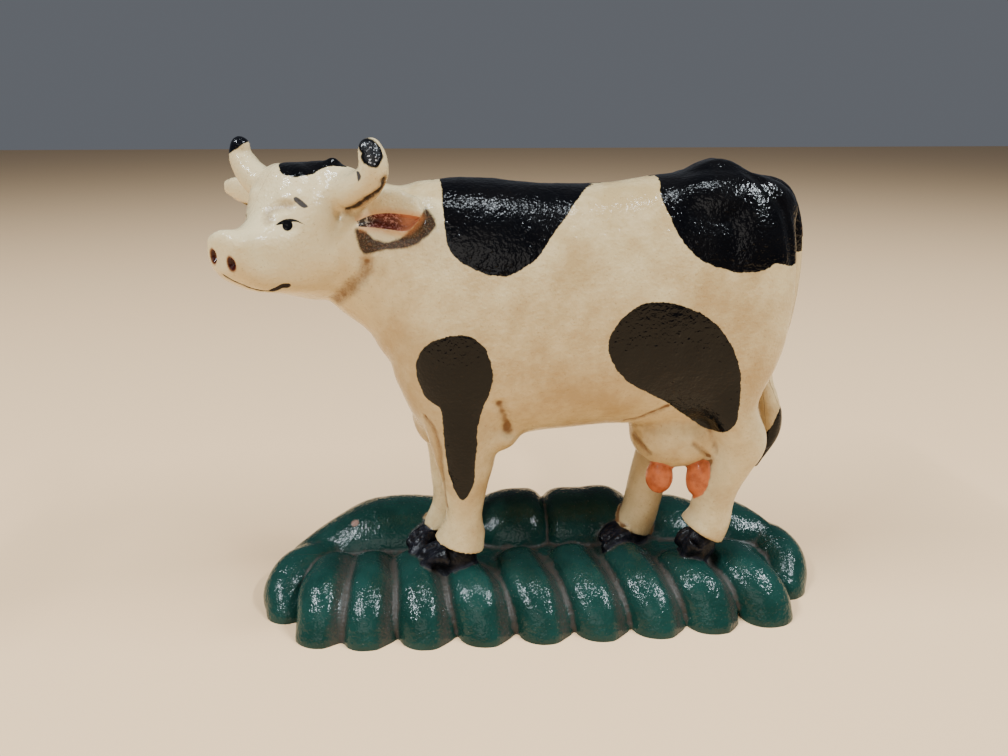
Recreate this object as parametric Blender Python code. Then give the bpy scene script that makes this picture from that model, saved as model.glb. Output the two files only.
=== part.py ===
"""Cast iron cow doorstop, modelled in metres with +Z up.

A full figure made as two hollow half castings that meet on a parting face,
drawn together by two slotted machine screws put in from the far side. X runs
along the cow with the nose at -X, the near side that is painted for show is
at -Y, and the origin is on the table under the middle of the whole object.
Sizes below are in millimetres and MM turns them into metres.
"""
import math

import bmesh
import bpy
from mathutils import Matrix, Vector

# Driving dimensions
MM = 0.001
BASE_DEPTH = 76.0
LOBES = 9
LOBE_STEP = 20.3
WALL = 4.2
HOLLOW_HUMP = 13.6
JOINT_GAP = 0.3
HEAD_TURN = math.radians(56.0)
POLL = Vector((-78.0, -6.0, 0.0))
SCREW_RADIUS = 2.5
SCREW_HEAD_RADIUS = 4.6
SCREW_HEAD_HEIGHT = 2.7
BOSS_RADIUS = 6.6
SCREW_PLACES = {"front_screw": (-26.0, 112.0), "rear_screw": (48.0, 114.0)}
PIP_RADIUS = 2.2
PIP_LENGTH = 3.0
PIP_PLACES = ((-97.0, 6.5), (97.0, 6.5))
SEAT_DEPTH = 22.5
SCREW_TIP = -15.0
SLOT_HALF_WIDTH = 0.55
SLOT_DEPTH = 1.5

# Fineness of the casting's skin
SKIN_VOXEL = 1.25
SKIN_FACES = 9000
CASTING_ROUNDS = 2
MUSCLE_ROUNDS = 10

# The parting face seen from above, from the tail end to past the nose. It
# runs down the middle of the body and, above the throat, bends with the turned
# head, so that each half draws from its mould without an undercut.
THROAT_HEIGHT = 100.0
PARTING = [(135.0, 0.0), (-60.0, 0.0), (-78.0, -6.5), (-91.0, -17.5), (-103.0, -31.0), (-135.0, -67.0)]

FORWARD = Vector((-math.cos(HEAD_TURN), -math.sin(HEAD_TURN), 0.0))
LEFT = Vector((math.sin(HEAD_TURN), -math.cos(HEAD_TURN), 0.0))


def clear_scene():
    for old in list(bpy.data.objects):
        bpy.data.objects.remove(old, do_unlink=True)


def material(name, colour, roughness, metallic=0.0):
    finish = bpy.data.materials.new(name)
    finish.use_nodes = True
    shader = finish.node_tree.nodes["Principled BSDF"]
    shader.inputs["Base Color"].default_value = (*colour, 1.0)
    shader.inputs["Roughness"].default_value = roughness
    shader.inputs["Metallic"].default_value = metallic
    return finish


def mesh_object(name, points, faces):
    """Makes an object from points in millimetres, with its faces pointing out."""
    mesh = bpy.data.meshes.new(name)
    mesh.from_pydata([Vector(p) * MM for p in points], [], faces)
    work = bmesh.new()
    work.from_mesh(mesh)
    bmesh.ops.recalc_face_normals(work, faces=work.faces)
    work.to_mesh(mesh)
    work.free()
    obj = bpy.data.objects.new(name, mesh)
    bpy.context.scene.collection.objects.link(obj)
    return obj


def smooth_rows(rows, steps):
    """Runs a Catmull-Rom curve through rows of numbers, steps to a span."""
    rows = [Vector(r) for r in rows]
    out = []
    for i in range(len(rows) - 1):
        a = rows[max(i - 1, 0)]
        b, c = rows[i], rows[i + 1]
        d = rows[min(i + 2, len(rows) - 1)]
        for k in range(steps):
            t = k / steps
            out.append(0.5 * (2 * b + (c - a) * t + (2 * a - 5 * b + 4 * c - d) * t * t
                              + (3 * b - a - 3 * c + d) * t * t * t))
    out.append(rows[-1])
    return out


def sweep(name, rows, side=(0.0, 1.0, 0.0), along=None, corners=24, steps=4, square=2.0):
    """Skins rings set across a smooth path into one closed solid.

    A row is x, y, z, half the width along side, half the height across it.
    The rings stand square to the path, or to along where it is given. A
    square of 2 gives ellipses, and more than 2 gives fuller corners.
    """
    rows = smooth_rows(rows, steps)
    side = Vector(side)
    points = []
    for i, row in enumerate(rows):
        ahead = Vector(rows[min(i + 1, len(rows) - 1)][:3])
        behind = Vector(rows[max(i - 1, 0)][:3])
        way = Vector(along) if along else (ahead - behind).normalized()
        across = (side - way * side.dot(way)).normalized()
        rise = way.cross(across)
        for k in range(corners):
            turn = 2 * math.pi * k / corners
            c, s = math.cos(turn), math.sin(turn)
            wide = math.copysign(abs(c) ** (2 / square), c) * row[3]
            high = math.copysign(abs(s) ** (2 / square), s) * row[4]
            points.append(Vector(row[:3]) + across * wide + rise * high)
    faces = []
    for i in range(len(rows) - 1):
        for k in range(corners):
            a = i * corners + k
            b = i * corners + (k + 1) % corners
            faces.append((a, b, b + corners, a + corners))
    faces.append(tuple(range(corners)))
    faces.append(tuple(range(len(points) - corners, len(points))))
    return mesh_object(name, points, faces)


def ball(name, centre, radii, turn=0.0, lean=0.0):
    """An ellipsoid, leant about Y and then turned about Z."""
    work = bmesh.new()
    bmesh.ops.create_uvsphere(work, u_segments=24, v_segments=14, radius=1.0)
    for v in work.verts:
        p = Vector((v.co.x * radii[0], v.co.y * radii[1], v.co.z * radii[2]))
        p = Vector((p.x * math.cos(lean) + p.z * math.sin(lean), p.y,
                    p.z * math.cos(lean) - p.x * math.sin(lean)))
        p = Vector((p.x * math.cos(turn) - p.y * math.sin(turn),
                    p.x * math.sin(turn) + p.y * math.cos(turn), p.z))
        v.co = (p + Vector(centre)) * MM
    mesh = bpy.data.meshes.new(name)
    work.to_mesh(mesh)
    work.free()
    obj = bpy.data.objects.new(name, mesh)
    bpy.context.scene.collection.objects.link(obj)
    return obj


def round_bar(name, centre, radius, start, end, corners=24):
    """A cylinder along Y from start to end, centred on (x, z)."""
    rows = [(centre[0], start, centre[1], radius, radius), (centre[0], end, centre[1], radius, radius)]
    return sweep(name, rows, side=(1.0, 0.0, 0.0), corners=corners, steps=1)


def head_point(ahead, left, height):
    """A place on the turned head: ahead of the poll, left of it, above the table."""
    return POLL + FORWARD * ahead + LEFT * left + Vector((0.0, 0.0, height))


def join(name, objects):
    """Gathers loose forms in one object, ready to be fused."""
    work = bmesh.new()
    for obj in objects:
        work.from_mesh(obj.data)
        bpy.data.objects.remove(obj, do_unlink=True)
    mesh = bpy.data.meshes.new(name)
    work.to_mesh(mesh)
    work.free()
    obj = bpy.data.objects.new(name, mesh)
    bpy.context.scene.collection.objects.link(obj)
    return obj


def bake(obj):
    """Applies an object's modifiers to its mesh."""
    seen = bpy.context.evaluated_depsgraph_get()
    mesh = bpy.data.meshes.new_from_object(obj.evaluated_get(seen))
    obj.modifiers.clear()
    obj.data = mesh
    return obj


def cut(obj, other, how="DIFFERENCE"):
    """Booleans another object into obj and removes it."""
    step = obj.modifiers.new(how.lower(), "BOOLEAN")
    step.operation = how
    step.solver = "EXACT"
    step.object = other
    bake(obj)
    bpy.data.objects.remove(other, do_unlink=True)
    return obj


def torso_rows(inset=0.0):
    """The barrel, from the rump to the brisket: x, top, bottom, half width."""
    ribs = [(81.5, 130.0, 106.0, 6.5), (79.5, 142.0, 98.0, 14.0), (77.0, 149.5, 90.0, 18.0),
            (72.0, 153.0, 80.0, 21.5), (66.0, 155.5, 72.0, 24.0), (52.0, 156.5, 68.0, 26.0),
            (36.0, 155.0, 68.5, 26.0),
            (18.0, 152.5, 69.0, 27.0), (0.0, 152.5, 67.5, 27.5), (-18.0, 154.0, 65.0, 27.0),
            (-34.0, 154.5, 64.0, 25.5), (-45.0, 151.5, 70.0, 22.0), (-53.0, 146.0, 88.0, 17.0)]
    return [(x, 0.0, (top + low) / 2, half - inset, (top - low) / 2 - inset)
            for x, top, low, half in ribs if inset == 0.0 or -50.0 < x < 85.0]


def neck_rows(inset=0.0):
    """The neck, rising from between the shoulders and bending to the head."""
    rows = [(-24.0, 0.0, 114.0, 25.0, 38.0), (-44.0, 0.0, 125.5, 22.5, 30.5),
            (-56.0, -1.0, 130.5, 19.5, 24.0), (-65.0, -3.0, 135.5, 17.0, 20.5),
            (-73.0, -6.0, 139.0, 16.0, 18.0)]
    return [(x, y, z, wide - inset, high - inset) for x, y, z, wide, high in rows
            if inset == 0.0 or x > -60.0]


def head_rows():
    """The skull, from behind the poll to the end of the muzzle."""
    cuts = [(-12.0, 0.0, 151.0, 121.0, 11.0), (-6.0, 0.0, 157.0, 116.8, 14.5),
            (0.0, 0.0, 159.6, 116.6, 16.6), (5.5, 0.2, 160.0, 118.3, 17.0),
            (9.5, 0.6, 158.6, 119.8, 15.9), (13.0, 1.1, 154.6, 121.0, 13.8),
            (16.0, 1.4, 150.2, 121.9, 11.9), (19.0, 1.6, 146.8, 122.8, 10.2),
            (23.0, 1.0, 144.2, 124.0, 9.0), (27.0, 0.4, 143.1, 125.9, 8.3),
            (31.0, 0.0, 143.4, 128.4, 7.8), (33.2, 0.0, 143.4, 130.4, 6.9),
            (34.7, 0.0, 141.2, 132.8, 5.0)]
    return [(*head_point(ahead, left, (top + low) / 2), half, (top - low) / 2)
            for ahead, left, top, low, half in cuts]


# Each horn runs out of the side of the poll and turns up. The near one is
# stouter than the far one. A row is ahead, out, height and radius, root first.
HORN_PATHS = {
    1: [(1.0, 8.0, 151.5, 4.4), (1.0, 14.0, 151.6, 5.0), (1.0, 20.5, 152.2, 5.2), (1.0, 26.0, 154.6, 4.9),
        (1.0, 29.1, 158.2, 4.5), (1.0, 29.1, 161.5, 4.3), (1.1, 28.3, 164.2, 3.8)],
    -1: [(1.0, 8.0, 151.0, 4.6), (1.0, 13.0, 151.6, 5.4), (1.0, 17.8, 153.2, 5.3), (1.0, 21.9, 156.0, 4.8),
         (1.0, 24.4, 159.4, 4.2), (1.0, 25.2, 161.8, 3.5), (1.1, 24.6, 164.0, 3.1)],
}
# An ear is a leaf that sticks out below and behind the horn; the far one is
# narrower. A row is ahead, out, height, half the thickness and half the width.
EAR_PATHS = {
    1: [(-3.0, 12.0, 145.0, 3.2, 4.5), (-5.0, 17.0, 144.4, 3.4, 6.6), (-6.4, 23.0, 144.3, 3.4, 8.0),
        (-7.4, 29.0, 144.6, 3.2, 8.2), (-8.2, 34.5, 145.8, 2.6, 6.8), (-8.7, 38.8, 147.8, 1.7, 3.2)],
    -1: [(-3.0, 12.0, 145.0, 3.2, 4.2), (-4.2, 18.0, 145.6, 3.3, 5.2), (-4.8, 25.0, 147.2, 3.2, 5.4),
         (-5.0, 31.0, 148.8, 3.0, 4.7), (-5.2, 36.5, 149.7, 2.5, 3.8), (-5.4, 41.0, 149.8, 1.7, 2.3)],
}


def head_forms():
    """Skull, poll, horns and ears; a hand of 1 is the near side, -1 the far side."""
    poll = [(-1.0, -13.0, 154.6, 5.0, 4.4), (0.0, 0.0, 155.4, 5.0, 4.6), (-0.5, 11.0, 155.8, 4.8, 4.6),
            (-0.5, 20.0, 154.0, 4.5, 4.4)]
    poll_rows = [(*head_point(ahead, left, high), r, rise) for ahead, left, high, r, rise in poll]
    forms = [sweep("skull", head_rows(), side=LEFT, along=FORWARD, square=2.4),
             sweep("poll", poll_rows, side=FORWARD, corners=16)]
    for hand in (1, -1):
        horn = [(*head_point(ahead, hand * out, high), r, r) for ahead, out, high, r in HORN_PATHS[hand]]
        ear = [(*head_point(ahead, hand * out, high), thick, wide)
               for ahead, out, high, thick, wide in EAR_PATHS[hand]]
        forms.append(sweep("horn", horn, side=FORWARD, corners=14))
        forms.append(ball("horn_tip", horn[-1][:3], (horn[-1][3],) * 3))
        forms.append(sweep("ear", ear, side=FORWARD, corners=18))
    return forms


# The ridge of bone from the top of the croup down the back of each haunch: x,
# distance from the middle, height and radius.
PIN_BONE = [(46.0, 2.0, 150.5, 6.0), (54.0, 3.0, 154.4, 6.0), (61.0, 7.0, 151.2, 5.6),
            (67.0, 12.0, 146.6, 5.5), (71.5, 14.0, 139.0, 5.5), (73.5, 14.5, 127.0, 5.5),
            (74.0, 14.5, 114.0, 5.0)]


def body_forms():
    """The barrel and neck, with balls for the muscles that swell under the hide."""
    forms = [sweep("barrel", torso_rows(), along=(-1.0, 0.0, 0.0), square=2.3),
             sweep("neck", neck_rows(), square=2.15)]
    for y in (-1, 1):
        forms.append(ball("hip", (56.0, y * 9.0, 144.5), (24.0, 11.0, 12.5)))
        forms.append(ball("shoulder", (-28.0, y * 14.0, 105.0), (20.0, 13.0, 34.0), lean=0.15))
    forms.append(ball("haunch_near", (61.0, -14.0, 112.0), (18.5, 12.5, 40.0), lean=0.06))
    forms.append(ball("haunch_far", (58.0, 14.0, 112.0), (18.5, 12.5, 40.0), lean=0.16))
    for y in (-1, 1):
        pin = [(x, y * out, z, r, r) for x, out, z, r in PIN_BONE]
        forms.append(sweep("pin_bone", pin))
    forms.append(ball("brisket", (-37.5, 3.0, 71.0), (10.8, 12.0, 12.0)))
    forms.append(ball("elbow", (-18.0, -12.0, 70.0), (8.0, 7.0, 6.6)))
    forms.append(ball("udder", (47.5, -3.5, 65.5), (17.5, 13.0, 14.2)))
    forms.append(ball("udder_root", (58.5, -8.0, 61.0), (7.0, 6.0, 7.0)))
    return forms


# Each leg runs from inside the body down to the rim of the cuff above its hoof.
LEGS = {
    "near_front": [(-31.0, -13.0, 88.0, 11.5, 15.5), (-30.0, -12.5, 72.0, 10.5, 13.0),
                   (-29.5, -12.0, 60.0, 8.8, 10.5), (-29.8, -11.5, 50.0, 7.6, 8.2),
                   (-30.2, -11.0, 38.0, 6.9, 6.6), (-30.8, -11.0, 31.0, 7.8, 8.2),
                   (-32.2, -11.5, 26.0, 8.6, 9.5)],
    "far_front": [(-33.0, 12.0, 88.0, 11.0, 14.0), (-35.0, 11.5, 68.0, 9.5, 11.0),
                  (-36.0, 10.8, 54.0, 7.8, 7.4), (-36.2, 9.8, 45.0, 6.8, 6.5),
                  (-35.6, 8.8, 37.0, 6.4, 6.3), (-36.0, 7.8, 30.0, 6.4, 6.6),
                  (-38.3, 7.0, 22.4, 6.6, 7.7)],
    "near_rear": [(62.0, -13.5, 96.0, 11.0, 15.5), (62.0, -13.5, 80.0, 10.0, 10.0),
                  (65.3, -13.5, 72.0, 9.2, 8.7), (68.0, -13.0, 64.5, 8.8, 9.2),
                  (65.8, -12.5, 56.0, 7.6, 7.6), (62.6, -12.0, 47.0, 7.0, 7.0),
                  (60.8, -11.8, 40.0, 7.2, 7.4), (60.0, -11.8, 33.6, 7.8, 7.8),
                  (57.4, -12.0, 28.4, 8.2, 8.8)],
    "far_rear": [(54.0, 12.0, 92.0, 11.0, 16.0), (52.0, 12.0, 74.0, 10.0, 12.5),
                 (48.7, 11.4, 60.0, 8.4, 9.4), (44.8, 10.4, 50.0, 7.4, 8.0),
                 (42.2, 9.4, 41.0, 6.9, 7.6), (40.6, 8.4, 33.0, 6.6, 7.2),
                 (38.9, 7.6, 25.0, 6.6, 7.1), (36.3, 7.0, 18.6, 6.6, 7.5)],
}
# A hoof's root is an egg that stands in the mound and fills the cuff; two toes
# run from it to the tips given last.
HOOVES = {
    "near_front": ((-33.5, -10.0, 18.5), (7.8, 6.2, 8.6), [(-46.2, -7.0, 18.8), (-44.4, -12.2, 17.8)]),
    "far_front": ((-40.2, 6.0, 16.5), (6.4, 5.8, 8.0), [(-50.6, -0.5, 20.0), (-49.0, -4.2, 18.4)]),
    "near_rear": ((57.0, -10.5, 20.5), (6.8, 6.0, 8.6), [(50.4, -9.2, 21.8), (52.0, -14.0, 19.2)]),
    "far_rear": ((35.0, 6.0, 14.5), (6.6, 5.8, 7.5), [(23.2, -0.5, 18.8), (23.6, -4.4, 17.2)]),
}
TOE_RADIUS = 3.0
TOE_TIP_RADIUS = 2.0
TOE_SPREAD = 2.6


def toe_rows(root, tip, k):
    """A toe from inside the cuff to its tip; the two toes of a hoof lie side by side."""
    tip = Vector(tip)
    start = Vector(root) + Vector((-2.0, TOE_SPREAD * (1 - 2 * k) - 2.0, 4.0))
    middle = start.lerp(tip, 0.6) + Vector((0.0, 0.0, 1.0))
    return [(*start, 3.4, 3.6), (*middle, TOE_RADIUS, TOE_RADIUS), (*tip, TOE_TIP_RADIUS, TOE_TIP_RADIUS)]


def leg_forms():
    forms = [sweep(name, rows, corners=20, steps=3) for name, rows in LEGS.items()]
    for root, size, tips in HOOVES.values():
        forms.append(ball("hoof_root", root, size))
        for k, tip in enumerate(tips):
            forms.append(sweep("toe", toe_rows(root, tip, k), corners=12, steps=3))
            forms.append(ball("toe_tip", tip, (TOE_TIP_RADIUS,) * 3))
    return forms


# The tail from the croup to the end of its brush: x, y, height and radius.
TAIL_PATH = [(60.0, 1.0, 151.5, 5.0), (70.0, 1.5, 150.2, 4.6), (75.5, 2.2, 149.3, 4.5),
             (79.3, 2.6, 146.2, 4.4), (82.2, 3.0, 140.5, 4.3), (84.2, 3.0, 132.0, 4.3),
             (84.8, 3.0, 121.0, 4.3), (84.5, 3.0, 109.0, 4.2), (83.2, 3.0, 98.0, 3.9),
             (80.7, 3.0, 89.0, 3.6), (80.6, 3.0, 81.5, 3.6), (83.4, 3.0, 73.0, 4.0),
             (85.2, 2.5, 67.0, 4.2), (85.7, 2.2, 61.0, 3.3), (84.7, 2.0, 56.0, 2.5),
             (83.0, 1.8, 52.0, 1.9), (80.6, 1.5, 46.2, 1.3)]


def tail_form():
    return [sweep("tail", [(x, y, z, r, r) for x, y, z, r in TAIL_PATH], corners=12)]


# Where each teat hangs and its half sizes
TEATS = (((41.0, -9.0, 49.2), (5.0, 4.6, 6.6)), ((55.3, -10.8, 49.2), (5.0, 4.8, 7.6)),
         ((46.0, 3.0, 51.0), (4.4, 4.2, 6.5)), ((58.0, 3.0, 51.0), (4.4, 4.2, 6.5)))


def roll(name, rows, side=(1.0, 0.0, 0.0)):
    """A sweep with a ball at both ends, as long as the ends' own radii."""
    forms = [sweep(name, rows, side=side, corners=18)]
    for x, y, z, wide, high in (rows[0], rows[-1]):
        forms.append(ball(name, (x, y, z), (wide, high, high)))
    return forms


# How far each front lobe's foot strays from even spacing, and how far its
# crown stays back to leave room for a hoof.
FOOT_STRAY = (2.6, -1.2, -1.2, -0.8, 0.0, 0.0, 0.0, 0.0, 0.6)
CROWN_BACK = (0.0, 0.0, 0.0, 7.5, 1.0, 0.0, 0.5, 6.0, 1.5)


def front_lobe(i):
    """One front lobe, from its foot on the table to its crown, counted from the left."""
    x = -83.5 + LOBE_STEP * i
    foot_x = x + FOOT_STRAY[i]
    foot_y = 7.6 - BASE_DEPTH / 2 + 3.4 * abs(2 * i / (LOBES - 1) - 1) ** 4
    lean = 13.0 * max(0.0, 1 - i / 3) ** 2 - 7.5
    crown_y = -5.5 - CROWN_BACK[i]
    return [(foot_x, foot_y, 0.0, 9.8, 7.2), (foot_x + 0.15 * lean, foot_y + 4.0, 5.0, 10.2, 8.2),
            (x + 0.55 * lean, (foot_y + crown_y) / 2, 9.4, 10.3, 8.4), (x + lean, crown_y, 11.0, 9.8, 7.8)]


# The humps along the back of the mound, left to right. A row is x, y, z, half
# the depth and half the height.
BACK_HUMPS = (
    [(-97.0, 7.5, 5.2, 8.5, 8.0), (-88.0, 13.0, 6.8, 12.5, 10.5), (-79.0, 16.5, 8.6, 15.5, 13.0),
     (-70.0, 18.5, 10.4, 17.0, 15.0), (-59.0, 19.0, 11.3, 17.5, 16.0), (-46.0, 19.0, 11.3, 17.5, 15.5),
     (-36.0, 18.5, 11.0, 16.0, 14.5), (-27.0, 18.0, 8.5, 13.0, 12.5)],
    [(-29.0, 18.5, 8.5, 13.0, 12.5), (-19.0, 19.0, 10.9, 17.0, 16.0), (-9.0, 19.0, 11.6, 18.0, 17.2),
     (-1.0, 19.0, 11.3, 17.5, 16.5), (5.0, 18.5, 7.5, 13.0, 13.5)],
    [(0.0, 18.5, 7.5, 13.0, 13.5), (6.0, 19.0, 11.4, 17.5, 16.0), (18.0, 19.0, 11.9, 18.0, 16.5),
     (30.0, 19.0, 11.9, 17.5, 16.5), (41.0, 18.5, 8.0, 13.5, 13.0)],
    [(37.0, 18.5, 7.5, 13.0, 12.5), (46.0, 18.5, 8.6, 16.0, 14.5), (57.0, 18.5, 8.6, 16.5, 14.8),
     (69.0, 18.5, 7.0, 13.5, 12.5)],
    [(64.0, 18.5, 7.0, 12.5, 12.0), (74.0, 18.0, 9.6, 16.0, 13.8), (83.0, 15.5, 9.0, 14.0, 12.5),
     (91.0, 11.0, 7.4, 10.5, 11.0), (96.0, 4.0, 4.8, 8.5, 9.5)],
)
# The lobe at each end wraps round from the crest to the front rim.
END_LOBES = (
    [(-82.0, 8.0, 8.0, 9.0, 9.5), (-92.0, 2.0, 6.5, 10.0, 10.5), (-97.0, -5.0, 3.5, 9.5, 9.0),
     (-95.5, -12.0, 0.0, 8.5, 8.0)],
    [(86.0, 13.0, 8.0, 9.0, 9.0), (93.5, 5.0, 6.5, 10.0, 10.5), (95.0, -3.0, 3.5, 10.0, 9.5),
     (92.0, -10.5, 0.0, 9.0, 8.5)],
)
BACK_LOBES = 7
BACK_LOBE_STEP = 26.0


def back_lobe(i):
    """One of the broad lobes that foot the far side, counted from the left."""
    half = (BACK_LOBES - 1) / 2
    x = BACK_LOBE_STEP * (i - half)
    foot_y = BASE_DEPTH / 2 - 11.0 - 4.0 * abs(i / half - 1) ** 3
    return [(x, foot_y, 0.0, 12.5, 10.5), (x * 0.98, foot_y - 3.0, 6.0, 12.5, 9.5),
            (x * 0.96, foot_y - 9.0, 10.0, 11.0, 8.0)]


def base_forms():
    """The oval mound with its lobes in front, humps behind and one lobe at each end."""
    rows = [(-1.0, 0.5, -4.0, 32.0, 97.0), (-1.0, 0.5, 4.0, 31.0, 96.0), (-1.0, 1.0, 9.0, 27.0, 91.0),
            (-1.0, 2.0, 12.5, 20.0, 82.0), (-1.0, 3.0, 14.5, 11.0, 68.0)]
    forms = [sweep("mound", rows, along=(0.0, 0.0, 1.0), corners=48, steps=2, square=2.3)]
    for i in range(LOBES):
        forms += roll("lobe", front_lobe(i))
    for rows in BACK_HUMPS:
        forms.append(sweep("hump", rows, along=(1.0, 0.0, 0.0)))
    for rows in END_LOBES:
        forms += roll("end_lobe", rows, side=(0.0, 0.0, 1.0))
    for i in range(BACK_LOBES):
        forms += roll("back_lobe", back_lobe(i))
    return forms


def keep_outer_shell(obj):
    """Drops the small closed shells that a fused skin can hold inside it."""
    work = bmesh.new()
    work.from_mesh(obj.data)
    loose = set(work.verts)
    shells = []
    while loose:
        shell = {loose.pop()}
        edge_of_it = list(shell)
        while edge_of_it:
            here = edge_of_it.pop()
            for edge in here.link_edges:
                there = edge.other_vert(here)
                if there not in shell:
                    shell.add(there)
                    edge_of_it.append(there)
        loose -= shell
        shells.append(shell)
    shells.sort(key=len)
    for shell in shells[:-1]:
        bmesh.ops.delete(work, geom=list(shell), context="VERTS")
    work.to_mesh(obj.data)
    work.free()


def muscle_share(p):
    """1 on the barrel, shoulders and haunches, 0 on head, tail, legs and base."""
    low = min(1.0, max(0.0, (p.z / MM - 50.0) / 20.0))
    front = min(1.0, max(0.0, (p.x / MM + 62.0) / 12.0))
    back = min(1.0, max(0.0, (76.0 - p.x / MM) / 8.0))
    return low * front * back


def fuse(obj):
    """Fuses loose forms into one skin, softens it as a casting and thins it."""
    step = obj.modifiers.new("fuse", "REMESH")
    step.mode = "VOXEL"
    step.voxel_size = SKIN_VOXEL * MM
    bake(obj)
    keep_outer_shell(obj)
    muscles = obj.vertex_groups.new(name="muscles")
    for v in obj.data.vertices:
        muscles.add([v.index], muscle_share(v.co), "REPLACE")
    for name, rounds, group in (("soften", CASTING_ROUNDS, ""), ("round_muscles", MUSCLE_ROUNDS, "muscles")):
        soften = obj.modifiers.new(name, "SMOOTH")
        soften.factor = 0.5
        soften.iterations = rounds
        soften.vertex_group = group
    thin = obj.modifiers.new("thin", "DECIMATE")
    thin.ratio = min(1.0, SKIN_FACES / (2 * len(obj.data.polygons)))
    thin.use_collapse_triangulate = True
    return bake(obj)


def parting_block(name, near):
    """The space on one side of the parting face, short of it by half the gap."""
    hand = -1 if near else 1
    bent = []
    for i, (x, y) in enumerate(PARTING):
        before = Vector(PARTING[max(i - 1, 0)])
        after = Vector(PARTING[min(i + 1, len(PARTING) - 1)])
        run = (after - before).normalized()
        out = Vector((run.y, -run.x)) * (JOINT_GAP / 2)
        if out.y * hand < 0:
            out = -out
        bent.append((x + out.x, y + out.y))
    straight = [(x, hand * JOINT_GAP / 2) for x, y in bent]
    levels = ((0.0, straight), (THROAT_HEIGHT - 1.0, straight), (THROAT_HEIGHT + 1.0, bent), (200.0, bent))
    corners = []
    for z, line in levels:
        corners += [(x, y, z) for x, y in line]
        corners += [(line[-1][0], 140.0 * hand, z), (line[0][0], 140.0 * hand, z)]
    count = len(bent) + 2
    faces = [tuple(range(count)), tuple(range(3 * count, 4 * count))]
    for level in range(3):
        for i in range(count):
            a, b = level * count + i, level * count + (i + 1) % count
            faces.append((a, b, b + count, a + count))
    return mesh_object(name, corners, faces)


def cores():
    """The sand cores: one fills the body and neck, one the underside of the base."""
    body = sweep("body_core", torso_rows(WALL), along=(-1.0, 0.0, 0.0), corners=20, steps=2, square=2.2)
    neck = sweep("neck_core", neck_rows(WALL), corners=20, steps=2)
    cut(body, neck, "UNION")
    rows = [(0.0, 0.5, -2.0, 28.0, 88.5), (0.0, 0.5, 5.0, 27.5, 87.0), (0.0, 2.0, 9.0, 22.0, 80.0),
            (0.0, 3.0, 10.5, 13.0, 68.0)]
    under = sweep("base_core", rows, along=(0.0, 0.0, 1.0), corners=32, steps=1, square=2.2)
    bank = [(-60.0, 15.0, 8.0, 7.0, 6.5), (-45.0, 17.0, 9.0, 11.0, 8.5), (0.0, 18.0, 9.5, 13.0, 8.5),
            (45.0, 17.0, 9.0, 11.0, 8.0), (64.0, 15.0, 8.0, 7.0, 6.0)]
    cut(under, sweep("bank_core", bank, corners=16, steps=2), "UNION")
    for rows in BACK_HUMPS:
        inner = [(x, y, z, wide - WALL, high - WALL) for x, y, z, wide, high in rows if wide > HOLLOW_HUMP]
        cut(under, sweep("hump_core", inner, along=(1.0, 0.0, 0.0), corners=16, steps=2), "UNION")
    return body, under


def build_casting(skin, near):
    """One half casting: its side of the skin, hollowed, with bosses for the screws."""
    name = "near_half_casting" if near else "far_half_casting"
    half = skin.copy()
    half.data = skin.data.copy()
    half.name = name
    bpy.context.scene.collection.objects.link(half)
    body, under = cores()
    hand = -1 if near else 1
    for x, z in SCREW_PLACES.values():
        cut(body, round_bar("boss", (x, z), BOSS_RADIUS, hand * -8.0, hand * 40.0))
    cut(half, parting_block("side", near), "INTERSECT")
    cut(half, body)
    cut(half, under)
    clear = JOINT_GAP
    for x, z in SCREW_PLACES.values():
        if near:
            cut(half, round_bar("tapped_hole", (x, z), SCREW_RADIUS + clear, -16.0, 5.0))
        else:
            cut(half, round_bar("through_hole", (x, z), SCREW_RADIUS + clear, -5.0, 45.0))
            cut(half, round_bar("head_seat", (x, z), SCREW_HEAD_RADIUS + 2 * clear, SEAT_DEPTH, 45.0))
    for x, z in PIP_PLACES:
        if near:
            cut(half, round_bar("pip", (x, z), PIP_RADIUS, -4.0, PIP_LENGTH - clear, corners=16), "UNION")
        else:
            cut(half, round_bar("socket", (x, z), PIP_RADIUS + clear, -4.0, PIP_LENGTH + clear, corners=16))
    half.data.materials.clear()
    half.data.materials.append(PAINT)
    return half


def build_screw(name, x, z):
    """A slotted round-head screw, head in its seat on the far side."""
    seat = SEAT_DEPTH + JOINT_GAP
    head = SCREW_HEAD_HEIGHT
    profile = [(SCREW_TIP, 0.7 * SCREW_RADIUS), (SCREW_TIP + 0.9, SCREW_RADIUS),
               (seat, SCREW_RADIUS), (seat, SCREW_HEAD_RADIUS),
               (seat + head * 0.45, SCREW_HEAD_RADIUS), (seat + head * 0.8, SCREW_HEAD_RADIUS * 0.78),
               (seat + head, SCREW_HEAD_RADIUS * 0.35)]
    corners = 24
    points = []
    for y, r in profile:
        for k in range(corners):
            turn = 2 * math.pi * k / corners
            points.append((x + r * math.cos(turn), y, z + r * math.sin(turn)))
    faces = [(i * corners + k, i * corners + (k + 1) % corners, (i + 1) * corners + (k + 1) % corners,
              (i + 1) * corners + k) for i in range(len(profile) - 1) for k in range(corners)]
    faces += [tuple(range(corners)), tuple(range(len(points) - corners, len(points)))]
    screw = mesh_object(name, points, faces)
    slot_points = [(x + a * 6.0, y, z + c * SLOT_HALF_WIDTH)
                   for y in (seat + head - SLOT_DEPTH, seat + head + 2.0) for a in (-1, 1) for c in (-1, 1)]
    slot = mesh_object("slot", slot_points,
                       [(0, 1, 3, 2), (4, 5, 7, 6), (0, 1, 5, 4), (2, 3, 7, 6), (0, 2, 6, 4), (1, 3, 7, 5)])
    cut(screw, slot)
    screw.data.materials.clear()
    screw.data.materials.append(STEEL)
    return screw


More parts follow.
